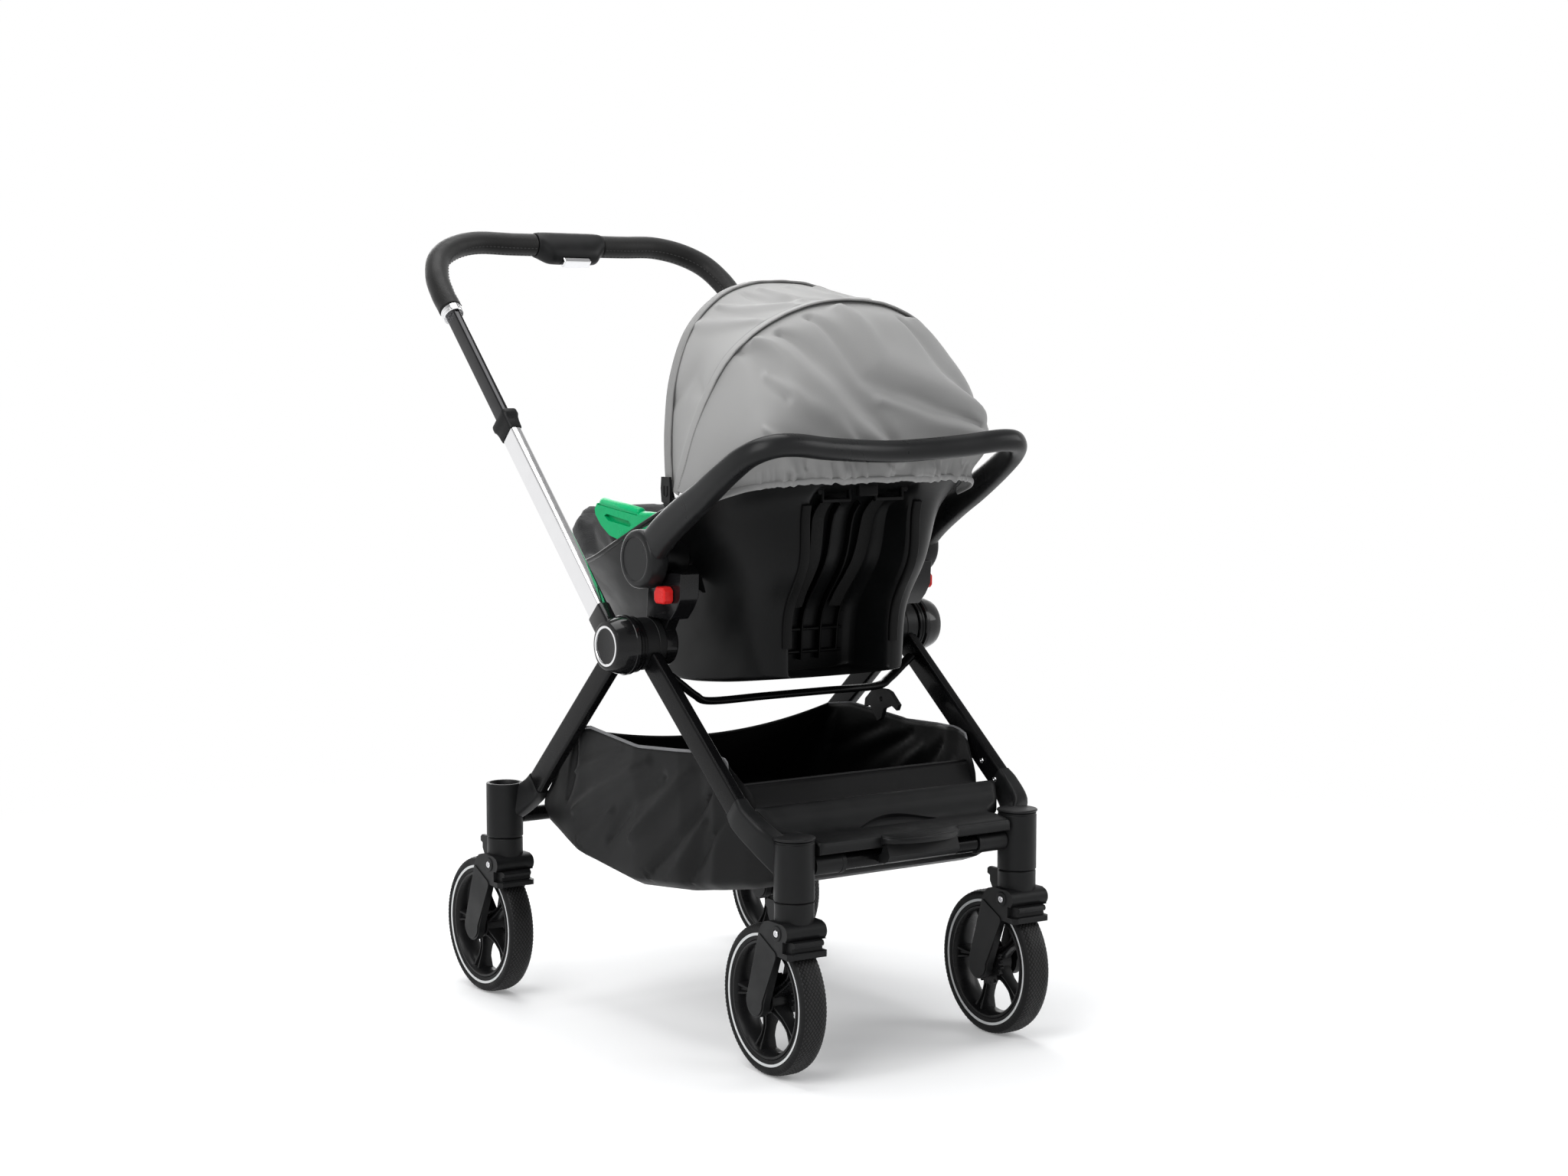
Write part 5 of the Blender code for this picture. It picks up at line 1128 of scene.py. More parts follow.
outer = [shell_ring(t, 0.0, True) for t in (0.0, 0.012, 0.15, 0.3, 0.42, 0.55, 0.7, 0.85, 0.93, 0.985, 1.0)]
inner = [shell_ring(t, WALL, False) for t in (1.0, 0.985, 0.93, 0.85, 0.7, 0.55, 0.42, 0.3, 0.2)]
piece("carrier_bucket", tub(outer, inner), SHELL_PLASTIC, "carrier", "carrier_shell",
      sharp=80, subdivide=2)

# rolled rim and pivot bosses
rim_line = [p + Vector((0, 0, 0.0008)) for p in shell_ring(1.0, WALL * 0.45, False)]
rim_path = smooth_path(rim_line + rim_line[:1], 6)[:-1]
rings = []
for i, p in enumerate(rim_path):
    tan = heading(rim_path, i, True)
    out = tan.cross(Vector((0, 0, 1))).normalized()
    up = out.cross(tan)
    rings.append(laid(oval(0.0046, 0.003, 14), p, out, up))
bm = loft(rings, True)
for side, s in SIDES:
    lathe([(0.0215, s * 0.165), (0.0215, s * 0.2035), (0.0205, s * (DISC_IN - 0.0003)),
           (0.01, s * (DISC_IN - 0.0003))], PIVOT, 48, False, bm)
    for lean in (-1, 1):
        # webs that brace the boss against the wall
        web = [(PIVOT_Y + lean * 0.01, PIVOT_Z - 0.01), (PIVOT_Y + lean * 0.014, PIVOT_Z - 0.01),
               (PIVOT_Y + lean * 0.03, PIVOT_Z - 0.045), (PIVOT_Y + lean * 0.026, PIVOT_Z - 0.045)]
        near_x = [Vector((s * 0.146, y, z)) for y, z in web]
        far_x = [Vector((s * (0.197 if k < 2 else 0.15), y, z)) for k, (y, z) in enumerate(web)]
        loft([near_x, far_x], False, bm)
piece("shell_rim_and_bosses", bm, SHELL_PLASTIC, "carrier", sharp=45)


bucket = bpy.data.objects["carrier_bucket"]
bucket_tree = BVHTree.FromObject(bucket, bpy.context.evaluated_depsgraph_get())


def wall_at(x, z):
    """Point of the bucket's outside seen straight from behind at (x, z)."""
    return bucket_tree.ray_cast(Vector((x, -0.6, z)), Vector((0, 1, 0)))[0] - Vector((0, SHIFT, 0))


def wall_line(x0, x1, z0, z1, steps, out):
    """Points down the wall from (x0, z0) to (x1, z1), standing out by out."""
    run = []
    for i in range(steps + 1):
        t = i / steps
        run.append(wall_at(x0 + (x1 - x0) * t, z0 + (z1 - z0) * t) - Vector((0, out, 0)))
    return run


bm = bmesh.new()
for x, low, high, out in ((-0.047, 0.5, 0.69, 0.002), (-0.016, 0.49, 0.7, 0.004), (0.016, 0.49, 0.7, 0.004),
                          (0.047, 0.5, 0.69, 0.002)):
    # stiffening fins in the recess
    loft(sweep(wall_line(x, x * 0.92, high, low, 16, out), rounded(0.012, 0.003, 0.0011, 3), (0, 1, 0)),
         False, bm)
for s in (-1, 1):
    # raised strip down each rear leg, with a stub beside the slots
    loft(sweep(wall_line(s * 0.0885, s * 0.0855, 0.7, 0.515, 16, 0.0002),
               rounded(0.0066, 0.0135, 0.0022, 4), (0, 1, 0)), False, bm)
    top = wall_at(s * 0.068, 0.716)
    loft(sweep([top + Vector((0, 0.002, 0)), top - Vector((0, 0.005, 0))], oval(0.0036, 0.0036, 20),
               (1, 0, 0)), False, bm)
    c = wall_at(s * 0.042, 0.716)
    arch = [c + Vector((0.0215 * math.cos(math.pi * i / 20), -0.0025, 0.015 * math.sin(math.pi * i / 20)))
            for i in range(21)]
    arch = [arch[0] - Vector((0, 0, 0.012))] + arch + [arch[-1] - Vector((0, 0, 0.012))]
    loft(sweep(arch, oval(0.0042, 0.0022, 16), (0, 1, 0)), False, bm)
    bar = [c + Vector((-0.0225, -0.003, -0.0115)), c + Vector((0.0225, -0.003, -0.0115))]
    loft(sweep(bar, rounded(0.007, 0.0056, 0.0022, 4), (0, 1, 0)), False, bm)
# plain raised tile between the slots
tile = wall_at(0, 0.722)
loft(sweep([tile + Vector((0, 0.004, 0)), tile - Vector((0, 0.0024, 0)), tile - Vector((0, 0.003, 0))],
           lambda t: rounded(0.03 - 0.001 * (t > 0.9), 0.026 - 0.001 * (t > 0.9), 0.003, 5)), False, bm)
for z in (0.5, 0.53):
    loft(sweep(wall_line(-0.05, 0.05, z, z, 8, 0.003), rounded(0.01, 0.004, 0.0015, 3), (0, 1, 0)), False,
         bm)
# these pieces in and beside the recess are coloured darker than the shell they are moulded with: painted shade
# for the recess
piece("recess_ribs_and_slots", bm, finish("recess_plastic_painted_shade", (0.0016, 0.0016, 0.0017),
                                          (0.0026, 0.0026, 0.0027), 0.5, shine=0.1), "carrier",
      sharp=45)

WEBBING = finish("black_webbing", (0.006, 0.006, 0.006), (0.012, 0.012, 0.012), 0.75, patch=400, grain=1600,
                 bump=0.7)
bm = bmesh.new()
for s in (-1, 1):
    # belt ends that come out of the slots and run down the recess
    run = wall_line(s * 0.042, s * 0.031, 0.706, 0.56, 14, 0.0095)
    loft(sweep(smooth_path(run[::2], 5), rounded(0.0014, 0.019, 0.0006, 2), (0, 1, 0)), False, bm)
piece("belt_runs_in_recess", bm, WEBBING, "carrier", sharp=60)


# Seat liner
# A quilted pad that fills the bucket: foam in dark knitted cloth, rolled over the rim and
# heaped at the foot end. It is swollen by a short cloth simulation, then smoothed.
LINER = finish("dark_knit_cloth", (0.01, 0.01, 0.0105), (0.018, 0.018, 0.0185), 0.88, patch=28, grain=1,
               bump=0.6, depth=0.0006, sheen=0.25)
pebbled(LINER, 520.0)


def liner_ring(t, inset, lift, swell=0.0, push=0.0):
    out = []
    for p in shell_ring(t, WALL + inset, False):
        foot = min(1.0, max(0.0, (p.y - 0.27) / 0.06))
        x = max(-0.172, min(0.172, p.x))
        y = p.y + 0.007 * min(1.0, max(0.0, (-0.04 - p.y) / 0.03))
        rise = lift * min(1.0, max(0.45, (p.y + 0.22) / 0.12))
        out.append(Vector((x, y + push * foot, p.z + rise + swell * foot)))
    return out


outer = [liner_ring(t, 0.0045, 0.001) for t in (0.2, 0.3, 0.42, 0.55, 0.7, 0.85, 0.93)]
outer += [liner_ring(1.0, 0.0045, 0.004, 0.02, 0.012), liner_ring(1.0, 0.0045, 0.004, 0.05, 0.018),
          liner_ring(1.0, 0.009, 0.009, 0.07, 0.012)]
inner = [liner_ring(1.0, 0.0165, 0.009, 0.066), liner_ring(1.0, 0.025, 0.0, 0.048),
         liner_ring(0.85, 0.031, -0.002, 0.01), liner_ring(0.7, 0.033, -0.002),
         liner_ring(0.55, 0.034, -0.002), liner_ring(0.42, 0.035, 0.003)]


def swollen(ob, voxel, pressure, cap, frames=20):
    """Remeshes a pad, lets a pressurised cloth simulation puff it, and keeps each point within cap."""
    remesh = ob.modifiers.new("remesh", "REMESH")
    remesh.mode = "VOXEL"
    remesh.voxel_size = voxel
    bpy.context.view_layer.update()
    ob.data = evaluated(ob)
    ob.modifiers.clear()
    rest = [v.co.copy() for v in ob.data.vertices]
    sim = ob.modifiers.new("puff", "CLOTH")
    sim.settings.use_pressure = True
    sim.settings.uniform_pressure_force = pressure
    sim.settings.effector_weights.gravity = 0
    sim.settings.quality = 5
    sim.collision_settings.use_collision = False
    sim.point_cache.frame_start = 1
    sim.point_cache.frame_end = frames
    for step in range(1, frames + 1):
        scene.frame_set(step)
    puffed = evaluated(ob)
    ob.modifiers.clear()
    scene.frame_set(1)
    for v, p, q in zip(ob.data.vertices, rest, [w.co.copy() for w in puffed.vertices]):
        move = q - p
        v.co = p + move * min(1.0, cap / max(move.length, 1e-9))
    ob.data.shade_smooth()


liner = piece("quilted_seat_liner", tub(outer, inner), LINER, None, sharp=180)
swollen(liner, 0.006, 4.0, 0.005)
liner.data.materials.clear()
liner.data.materials.append(LINER)
settle = liner.modifiers.new("settle", "SMOOTH")
settle.factor = 0.5
settle.iterations = 4
mount(liner, "carrier", "seat_liner")


# Carrier handle
# A single U of soft-touch moulding: broad flat arms that thicken towards two pivot discs,
# and a rounder bar across the back. Each disc has a plain round recess in its face.
PIVOT_DISC_R = 0.038
DISC_OUT = 0.235
ARM_X = 0.22
SOFT_TOUCH = finish("soft_touch_black", (0.01, 0.0102, 0.0106), (0.016, 0.0162, 0.0167), 0.33, patch=22,
                    grain=1700, bump=0.15)
arm_pts = [(ARM_X, PIVOT_Y - 0.012, PIVOT_Z + 0.01), (ARM_X, -0.075, 0.665), (ARM_X, -0.12, 0.692),
           (ARM_X, -0.158, 0.712), (0.219, -0.205, 0.74), (0.212, -0.245, 0.764), (0.193, -0.268, 0.776),
           (0.16, -0.273, 0.778), (0.1, -0.268, 0.772), (0.0, -0.26, 0.767)]
path = smooth_path([Vector(p) for p in arm_pts] + [Vector((-x, y, z)) for x, y, z in arm_pts[-2::-1]], 9)
rings = []
for i, p in enumerate(path):
    t = min(i, len(path) - 1 - i) / (len(path) - 1)
    tan = heading(path, i)
    up = square_to(tan, Vector((0, 0.515, 0.857)))
    out = tan.cross(up)
    flat = table(((0.0, 0.013), (0.3, 0.013), (0.36, 0.014), (0.5, 0.014)), t)
    deep = table(((0.0, 0.023), (0.12, 0.02), (0.28, 0.015), (0.5, 0.014)), t)
    boxy = table(((0.0, 0.62), (0.26, 0.72), (0.36, 1.0)), t)
    ring = []
    for a, b in oval(1.0, 1.0, 40):
        ring.append(p + out * (flat * math.copysign(abs(a) ** boxy,
                                                    a)) + up * (deep * math.copysign(abs(b) ** boxy, b)))
    rings.append(ring)
bm = loft(rings)
for side, s in SIDES:
    disc = [(0.034, DISC_IN), (0.0365, DISC_IN + 0.0008), (PIVOT_DISC_R, DISC_IN + 0.003),
            (PIVOT_DISC_R, DISC_OUT - 0.006), (0.0372, DISC_OUT - 0.0032), (0.0352, DISC_OUT - 0.001),
            (0.0325, DISC_OUT), (0.029, DISC_OUT), (0.0282, DISC_OUT - 0.0003), (0.0278, DISC_OUT - 0.0011),
            (0.012, DISC_OUT - 0.0011)]
    lathe(sided(disc, s), PIVOT, 96, False, bm)
piece("carrier_carry_handle", bm, SOFT_TOUCH, "carrier_handle", "carrier_handle", sharp=38)


# Belt guides
# Bright green moulded hooks on the side rims that the vehicle's lap belt runs under.
GREEN = finish("green_plastic", (0.0, 0.36, 0.125), (0.002, 0.41, 0.15), 0.32, patch=40, grain=1200,
               bump=0.08)
ROLL_X = 0.1842
GUIDE = ((-0.005, 0.679), (0.02, 0.6795), (0.03, 0.681), (0.0411, 0.6825), (0.08, 0.6875), (0.1245, 0.6925),
         (0.1345, 0.691), (0.1405, 0.683), (0.1385, 0.676), (0.125, 0.6625), (0.1038, 0.65),
         (0.085, 0.6462), (0.0677, 0.645), (0.03, 0.6475), (0.01, 0.655), (-0.005, 0.664))
for side, s in SIDES:
    guide = piece("green_belt_guide_" + side, prism(GUIDE, s * 0.178, s * 0.1915), GREEN, None)
    # the long slot in the face, and the fold line under the roll
    slot = [(0.116, 0.6752), (0.111, 0.678), (0.056, 0.6712), (0.05, 0.6672), (0.053, 0.6632),
            (0.106, 0.669)]
    carved(guide, prism(slot, s * 0.1855, s * 0.199))
    carved(guide, prism([(0.035, 0.6805), (0.035, 0.679), (0.133, 0.6893), (0.133, 0.6908)], s * 0.1895,
                        s * 0.199))
    mount(guide, "carrier", "belt_guide_" + side, 0.0022)
    roll = [(0.034, 0.003), (0.035, 0.0055), (0.0375, 0.0066), (0.08, 0.0068), (0.124, 0.0068),
            (0.1285, 0.006), (0.131, 0.0036)]
    rings = []
    for y, r in roll:
        centre = Vector((s * ROLL_X, y, 0.6832 + (y - 0.04) * 0.105))
        rings.append(laid(oval(r * 1.12, r, 32), centre, XDIR, ZDIR))
    bm = loft(rings)
    stub = [(-0.005, 0.004), (0.0, 0.0048), (0.03, 0.005), (0.0345, 0.0042)]
    loft([laid(oval(r * 1.3, r, 24), Vector((s * ROLL_X, y, 0.68)), XDIR, ZDIR) for y, r in stub], False,
         bm)
    piece("belt_guide_roll_" + side, bm, GREEN, "carrier", sharp=50)


# Hood
# Grey woven polyester cut in two panels that meet over the middle hoop. The front edge is
# bound over the front hoop, the rear panel is pulled down over the shell by an elastic hem.
HOOD_Y = -0.0525
HOOD_MID_Z = 0.76
CLIP_TOP = 0.733
PUCKER = (0.22, 0.8)
FRONT_RIB = ((0.197, -0.045, 0.715), (0.1965, -0.04, 0.75), (0.193, -0.035, 0.8), (0.18, -0.027, 0.86),
             (0.15, -0.018, 0.92), (0.1, -0.01, 0.963), (0.05, -0.006, 0.981), (0.0, -0.005, 0.985))
FRONT_MID = ((0.1972, -0.05, 0.715), (0.196, -0.058, 0.75), (0.1905, -0.064, 0.8), (0.179, -0.07, 0.855),
             (0.154, -0.077, 0.906), (0.111, -0.082, 0.944), (0.056, -0.084, 0.966), (0.0, -0.085, 0.972))
MID_RIB = ((0.1978, -0.06, 0.715), (0.197, -0.077, 0.75), (0.193, -0.097, 0.8), (0.1835, -0.119, 0.848),
           (0.165, -0.138, 0.89), (0.125, -0.153, 0.926), (0.065, -0.162, 0.951), (0.0, -0.165, 0.958))
REAR_1 = ((0.198, -0.09, 0.713), (0.1978, -0.11, 0.745), (0.1945, -0.135, 0.787), (0.184, -0.152, 0.833),
          (0.164, -0.169, 0.873), (0.127, -0.184, 0.903), (0.07, -0.2, 0.924), (0.0, -0.203, 0.931))
REAR_2 = ((0.198, -0.12, 0.7145), (0.1978, -0.14, 0.737), (0.195, -0.165, 0.768), (0.189, -0.192, 0.8),
          (0.17, -0.207, 0.83), (0.129, -0.221, 0.85), (0.07, -0.231, 0.862), (0.0, -0.233, 0.866))
REAR_3 = ((0.1975, -0.136, 0.7165), (0.1965, -0.153, 0.73), (0.1945, -0.184, 0.751), (0.19, -0.218, 0.771),
          (0.172, -0.236, 0.786), (0.127, -0.238, 0.799), (0.07, -0.2355, 0.808), (0.0, -0.237, 0.812))
HEM = ((0.198, -0.143, 0.717), (0.1965, -0.161, 0.7245), (0.1905, -0.183, 0.733), (0.1785, -0.202, 0.739),
       (0.156, -0.2185, 0.743), (0.116, -0.234, 0.7465), (0.06, -0.2405, 0.748), (0.0, -0.2415, 0.7485))
CASING = ((0.1985, -0.146, 0.708), (0.1968, -0.162, 0.713), (0.1908, -0.1825, 0.719), (0.178, -0.2, 0.725),
          (0.155, -0.215, 0.729), (0.115, -0.232, 0.732), (0.06, -0.2395, 0.7325), (0.0, -0.2405, 0.7325))


def woven(name, low, high, thread, rough, bump, sheen):
    """Plain-weave cloth: two crossed sets of threads in the piece's own UV map, in metres."""
    mat = finish(name, low, high, rough, patch=9, grain=thread, bump=bump, depth=0.0004, sheen=sheen,
                 spread=0.04)
    over = crossed_bands(mat, "MAXIMUM", Scale=0.314 / thread, Distortion=0.6, Detail=1.0)
    wire(mat.node_tree, (over, 0, "Bump", "Height"))
    return mat


HOOD_CLOTH = woven("grey_woven_polyester", (0.268, 0.266, 0.262), (0.312, 0.31, 0.305), 0.0011, 0.5, 0.16,
                   0.15)
BINDING = woven("grey_binding_tape", (0.205, 0.204, 0.201), (0.248, 0.246, 0.242), 0.0011, 0.58, 0.3, 0.12)
SEAM_THREAD = finish("grey_thread", (0.16, 0.16, 0.158), (0.2, 0.2, 0.197), 0.6, grain=3000, bump=0.4)


def hood_arch(half):
    right = [Vector((-x, y, z)) for x, y, z in half]
    return smooth_path(right + [Vector(p) for p in half[-2::-1]], 12)


def cloth_grid(rows, shape):
    """Sheet from rows of points, moved along its normals by shape(u, v), with a UV map in metres."""
    nu, nv = len(rows), len(rows[0])
    bm = bmesh.new()
    uv = bm.loops.layers.uv.new("UVMap")
    across = sum((rows[nu // 2][j + 1] - rows[nu // 2][j]).length for j in range(nv - 1))
    down = sum((rows[i + 1][nv // 2] - rows[i][nv // 2]).length for i in range(nu - 1))
    centre = Vector((0, -0.09, HOOD_MID_Z))
    made = []
    for i in range(nu):
        line = []
        for j in range(nv):
            du = rows[min(i + 1, nu - 1)][j] - rows[max(i - 1, 0)][j]
            dv = rows[i][min(j + 1, nv - 1)] - rows[i][max(j - 1, 0)]
            n = du.cross(dv).normalized()
            if n.dot(rows[i][j] - centre) < 0:
                n = -n
            line.append(bm.verts.new(rows[i][j] + n * shape(j / (nv - 1), i / (nu - 1))))
        made.append(line)
    for i in range(nu - 1):
        for j in range(nv - 1):
            face = bm.faces.new((made[i][j], made[i + 1][j], made[i + 1][j + 1], made[i][j + 1]))
            for loop, (a, b) in zip(face.loops, ((i, j), (i + 1, j), (i + 1, j + 1), (i, j + 1))):
                loop[uv].uv = (b / (nv - 1) * across, a / (nu - 1) * down)
    area = sum(f.calc_area() for f in bm.faces)
    return bm, (across, down), area


def ease(t):
    t = max(0.0, min(1.0, t))
    return t * t * (3 - 2 * t)


def ridges(table_of, u, v, size):
    """Sum of soft folds; each is a run of (u, v) points with a half width and a height in metres."""
    total = 0.0
    p = Vector((u * size[0], v * size[1], 0))
    for run, width, height in table_of:
        pts = [Vector((a * size[0], b * size[1], 0)) for a, b in run]
        best = 1.0
        for i, (a, b) in enumerate(zip(pts, pts[1:])):
            t = max(0.0, min(1.0, (p - a).dot(b - a) / (b - a).length_squared))
            along = (i + t) / (len(pts) - 1)
            taper = 0.35 + 0.65 * math.sin(math.pi * max(0.03, min(0.97, along)))
            best = min(best, (p - a.lerp(b, t)).length / taper)
        total += height * math.exp(-(best / width) ** 2)
    return total


FRONT_FOLDS = ((((0.3, 0.1), (0.31, 0.3), (0.36, 0.95)), 0.012, 0.004),
               (((0.345, 0.18), (0.36, 0.45), (0.42, 0.96)), 0.009, 0.0042),
               (((0.4, 0.2), (0.41, 0.55), (0.47, 0.97)), 0.008, -0.0036),
               (((0.43, 0.25), (0.44, 0.6), (0.44, 0.9)), 0.007, 0.0034),
               (((0.48, 0.3), (0.485, 0.6), (0.5, 0.95)), 0.008, 0.0036),
               (((0.56, 0.2), (0.58, 0.6), (0.55, 0.95)), 0.009, 0.0036),
               (((0.66, 0.15), (0.7, 0.5), (0.64, 0.95)), 0.012, 0.004),
               (((0.17, 0.1), (0.22, 0.5), (0.2, 0.9)), 0.02, -0.0035))
REAR_FOLDS = ((((0.33, 0.12), (0.387, 0.375), (0.423, 0.479), (0.47, 0.646), (0.53, 0.78)), 0.016, 0.0072),
              (((0.47, 0.1), (0.506, 0.354), (0.57, 0.42), (0.667, 0.458), (0.78, 0.46)), 0.018, 0.0068),
              (((0.32, 0.32), (0.375, 0.5), (0.417, 0.583), (0.452, 0.708)), 0.012, 0.0055),
              (((0.5, 0.53), (0.583, 0.6), (0.655, 0.63), (0.76, 0.64)), 0.016, 0.006),
              (((0.37, 0.16), (0.42, 0.38), (0.47, 0.56), (0.52, 0.7)), 0.012, -0.0062),
              (((0.3, 0.06), (0.325, 0.3), (0.345, 0.45)), 0.014, -0.0045),
              (((0.42, 0.12), (0.475, 0.42), (0.52, 0.5), (0.6, 0.56), (0.7, 0.57)), 0.011, -0.0056),
              (((0.6, 0.12), (0.66, 0.28), (0.76, 0.36)), 0.018, 0.0058),
              (((0.57, 0.15), (0.63, 0.36), (0.72, 0.44)), 0.01, -0.0045),
              (((0.28, 0.55), (0.32, 0.7), (0.34, 0.84)), 0.01, 0.0036),
              (((0.5, 0.78), (0.525, 0.9)), 0.006, 0.003), (((0.37, 0.66), (0.36, 0.8)), 0.006, -0.003),
              (((0.58, 0.74), (0.6, 0.9)), 0.006, 0.003), (((0.66, 0.72), (0.67, 0.9)), 0.006, 0.0034))


def front_folds(u, v):
    """The front panel: a slight hollow between the hoops and pulls across its top."""
    calm = ease(min(u, 1 - u) * 9) * ease(v * 5) * ease((1 - v) * 9)
    drift = noise.noise(Vector((u * 9, v * 2.0, 3.1))) * 0.0012
    return -0.003 * math.sin(math.pi * v) + calm * (1.2 * ridges(FRONT_FOLDS, u, v, (0.749, 0.162)) + drift)


def gathers(u):
    """Uneven ruffles along the elastic, -1 to 1."""
    return 1.35 * noise.noise(Vector((u * 66, 0.3, 2.0))) + 0.65 * noise.noise(Vector((u * 127, 4.1, 0.0)))


def rear_folds(u, v):
    """The rear panel: broad slanting folds, and tight gathers where the elastic draws it in."""
    calm = ease(min(u, 1 - u) * 8) * ease(v * 9) * ease((0.93 - v) * 7)
    drift = noise.noise(Vector((u * 8, v * 3.0, 7.7))) * 0.0016
    middle = ease(min(u - PUCKER[0], PUCKER[1] - u) * 9)
    gather = max(-0.3, gathers(u))
    pinch = 0.008 * ease((v - 0.74) / 0.1) * (1 - 0.35 * ease((v - 0.93) * 14))
    return calm * (1.2 * ridges(REAR_FOLDS, u, v, (0.664, 0.241)) + drift) + pinch * middle * gather


def hood_panel(name, ribs, shape, replaced):
    rows = smooth_path([smooth_path(rib, 2) for rib in ribs], 12)
    bm, flat, area = cloth_grid(rows, shape)
    ob = piece(name, bm, HOOD_CLOTH, None, sharp=180)
    wall = ob.modifiers.new("thickness", "SOLIDIFY")
    wall.thickness = 0.0014
    wall.offset = -1
    mount(ob, None, replaced)
    return ob


front, front_mid, middle = hood_arch(FRONT_RIB), hood_arch(FRONT_MID), hood_arch(MID_RIB)
front_panel = hood_panel("hood_front_panel", [front, front_mid, middle], front_folds, "hood_front")
rear_ribs = [middle, hood_arch(REAR_1), hood_arch(REAR_2), hood_arch(REAR_3), hood_arch(HEM),
             hood_arch(CASING)]
rear_panel = hood_panel("hood_rear_panel", rear_ribs, rear_folds, "hood_rear")
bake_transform(front_panel)
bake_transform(rear_panel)


def taped(name, line, inward, width, thick, mat, body):
    """A folded tape laid along a hood edge, width wide towards inward."""
    rings = []
    for i, p in enumerate(line):
        tan = heading(line, i)
        n = square_to(tan, p - Vector((0, p.y, HOOD_MID_Z)))
        side = (inward[i] - p)
        side = (side - tan * side.dot(tan) - n * side.dot(n)).normalized()
        ring = []
        pucker = 0.0007 * noise.noise(Vector((i * 0.31, width * 900, 5.0)))
        for a, b in rounded(width, thick, thick * 0.48, 4):
            ring.append(p + side * (a + width * 0.44) + n * (b - thick * 0.16 + pucker * (0.5 + a / width)))
        rings.append(ring)
    return piece(name, loft(rings), mat, body, sharp=60)


taped("hood_front_binding", front, front_mid, 0.015, 0.003, BINDING, "hood_front_hoop")
taped("hood_middle_seam", middle, rear_ribs[1], 0.0125, 0.0028, HOOD_CLOTH, "hood_mid_hoop")
runs = []
for line, inward, off in ((front, front_mid, 0.0128), (middle, rear_ribs[1], 0.0112)):
    run = []
    for i in range(2, len(line) - 2):
        p = line[i]
        n = Vector((p.x, 0, p.z - HOOD_MID_Z)).normalized()
        run.append(p + (inward[i] - p).normalized() * off + n * 0.0012)
    runs.append(run)
for name, run, body in (("hood_binding_stitches", runs[0], "hood_front_hoop"),
                        ("hood_seam_stitches", runs[1], "hood_mid_hoop")):
    grown(name, [run], STITCH, {"Spacing": 0.0036, "Length": 0.0027, "Thickness": 0.00045,
                                "Thread": SEAM_THREAD}, body)

# the elastic in its casing, ruffled along the middle of the hem
hem = smooth_path(rear_ribs[-1], 4)
rings = []
for i, p in enumerate(hem):
    u = i / (len(hem) - 1)
    tan = heading(hem, i)
    n = Vector((p.x * 0.6, p.y + 0.05, 0)).normalized()
    up = n.cross(tan).normalized()
    n = tan.cross(up)
    ruffle = ease(min(u - PUCKER[0], PUCKER[1] - u) * 9) * gathers(u)
    r = 0.0022 + 0.0008 * ruffle
    centre = p + n * (0.0012 * ruffle) - Vector((0, 0, 0.0016 + 0.0012 * ruffle))
    rings.append([centre + n * a * r + up * b * (0.004 + 0.0012 * ruffle) for a, b in oval(1.0, 1.0, 12)])
piece("hood_elastic_hem", loft(rings), HOOD_CLOTH, "carrier", sharp=180)

# the hoops run in cloth sleeves; below the hood only their black ends show
SLEEVE = finish("sleeved_hoop", (0.205, 0.204, 0.201), (0.248, 0.246, 0.242), 0.58, patch=9, grain=900,
                bump=0.3)
tree = SLEEVE.node_tree
height = node(tree, "ShaderNodeSeparateXYZ")
above = node(tree, "ShaderNodeMath", operation="GREATER_THAN")
above.inputs[1].default_value = CLIP_TOP
tone = node(tree, "ShaderNodeMix", data_type="RGBA")
tone.inputs[6].default_value = (0.007, 0.007, 0.0075, 1)
wire(tree, ("Texture Coordinate", "Object", height, 0), (height, "Z", above, 0), (above, 0, tone, 0),
     ("Mix", 2, tone, 7), (tone, 2, "Principled BSDF", "Base Color"))
for name in ("front_hoop", "mid_hoop"):
    dress(name, SLEEVE, 0.0003)
for side, s in SIDES:
    plate = prism([(HOOD_Y - 0.0095, 0.7005), (HOOD_Y + 0.0095, 0.7005), (HOOD_Y + 0.0115, 0.718),
                   (HOOD_Y + 0.01, CLIP_TOP), (HOOD_Y - 0.0085, CLIP_TOP),
                   (HOOD_Y - 0.0105, 0.718)], s * 0.2005, s * 0.2042)
    groove = [Vector((s * 0.2044, HOOD_Y + 0.0038 * math.cos(a), 0.7115 - 0.0038 * math.sin(a)))
              for a in [math.pi * k / 12 for k in range(13)]]
    groove = [groove[0] + Vector((0, 0, 0.01))] + groove + [groove[-1] + Vector((0, 0, 0.01))]
    loft(sweep(groove, oval(0.0008, 0.0008, 10), (1, 0, 0)), False, plate)
    piece("hood_clip_plate_" + side, plate, MOULDED, "hood_front_hoop", edge=0.0006)


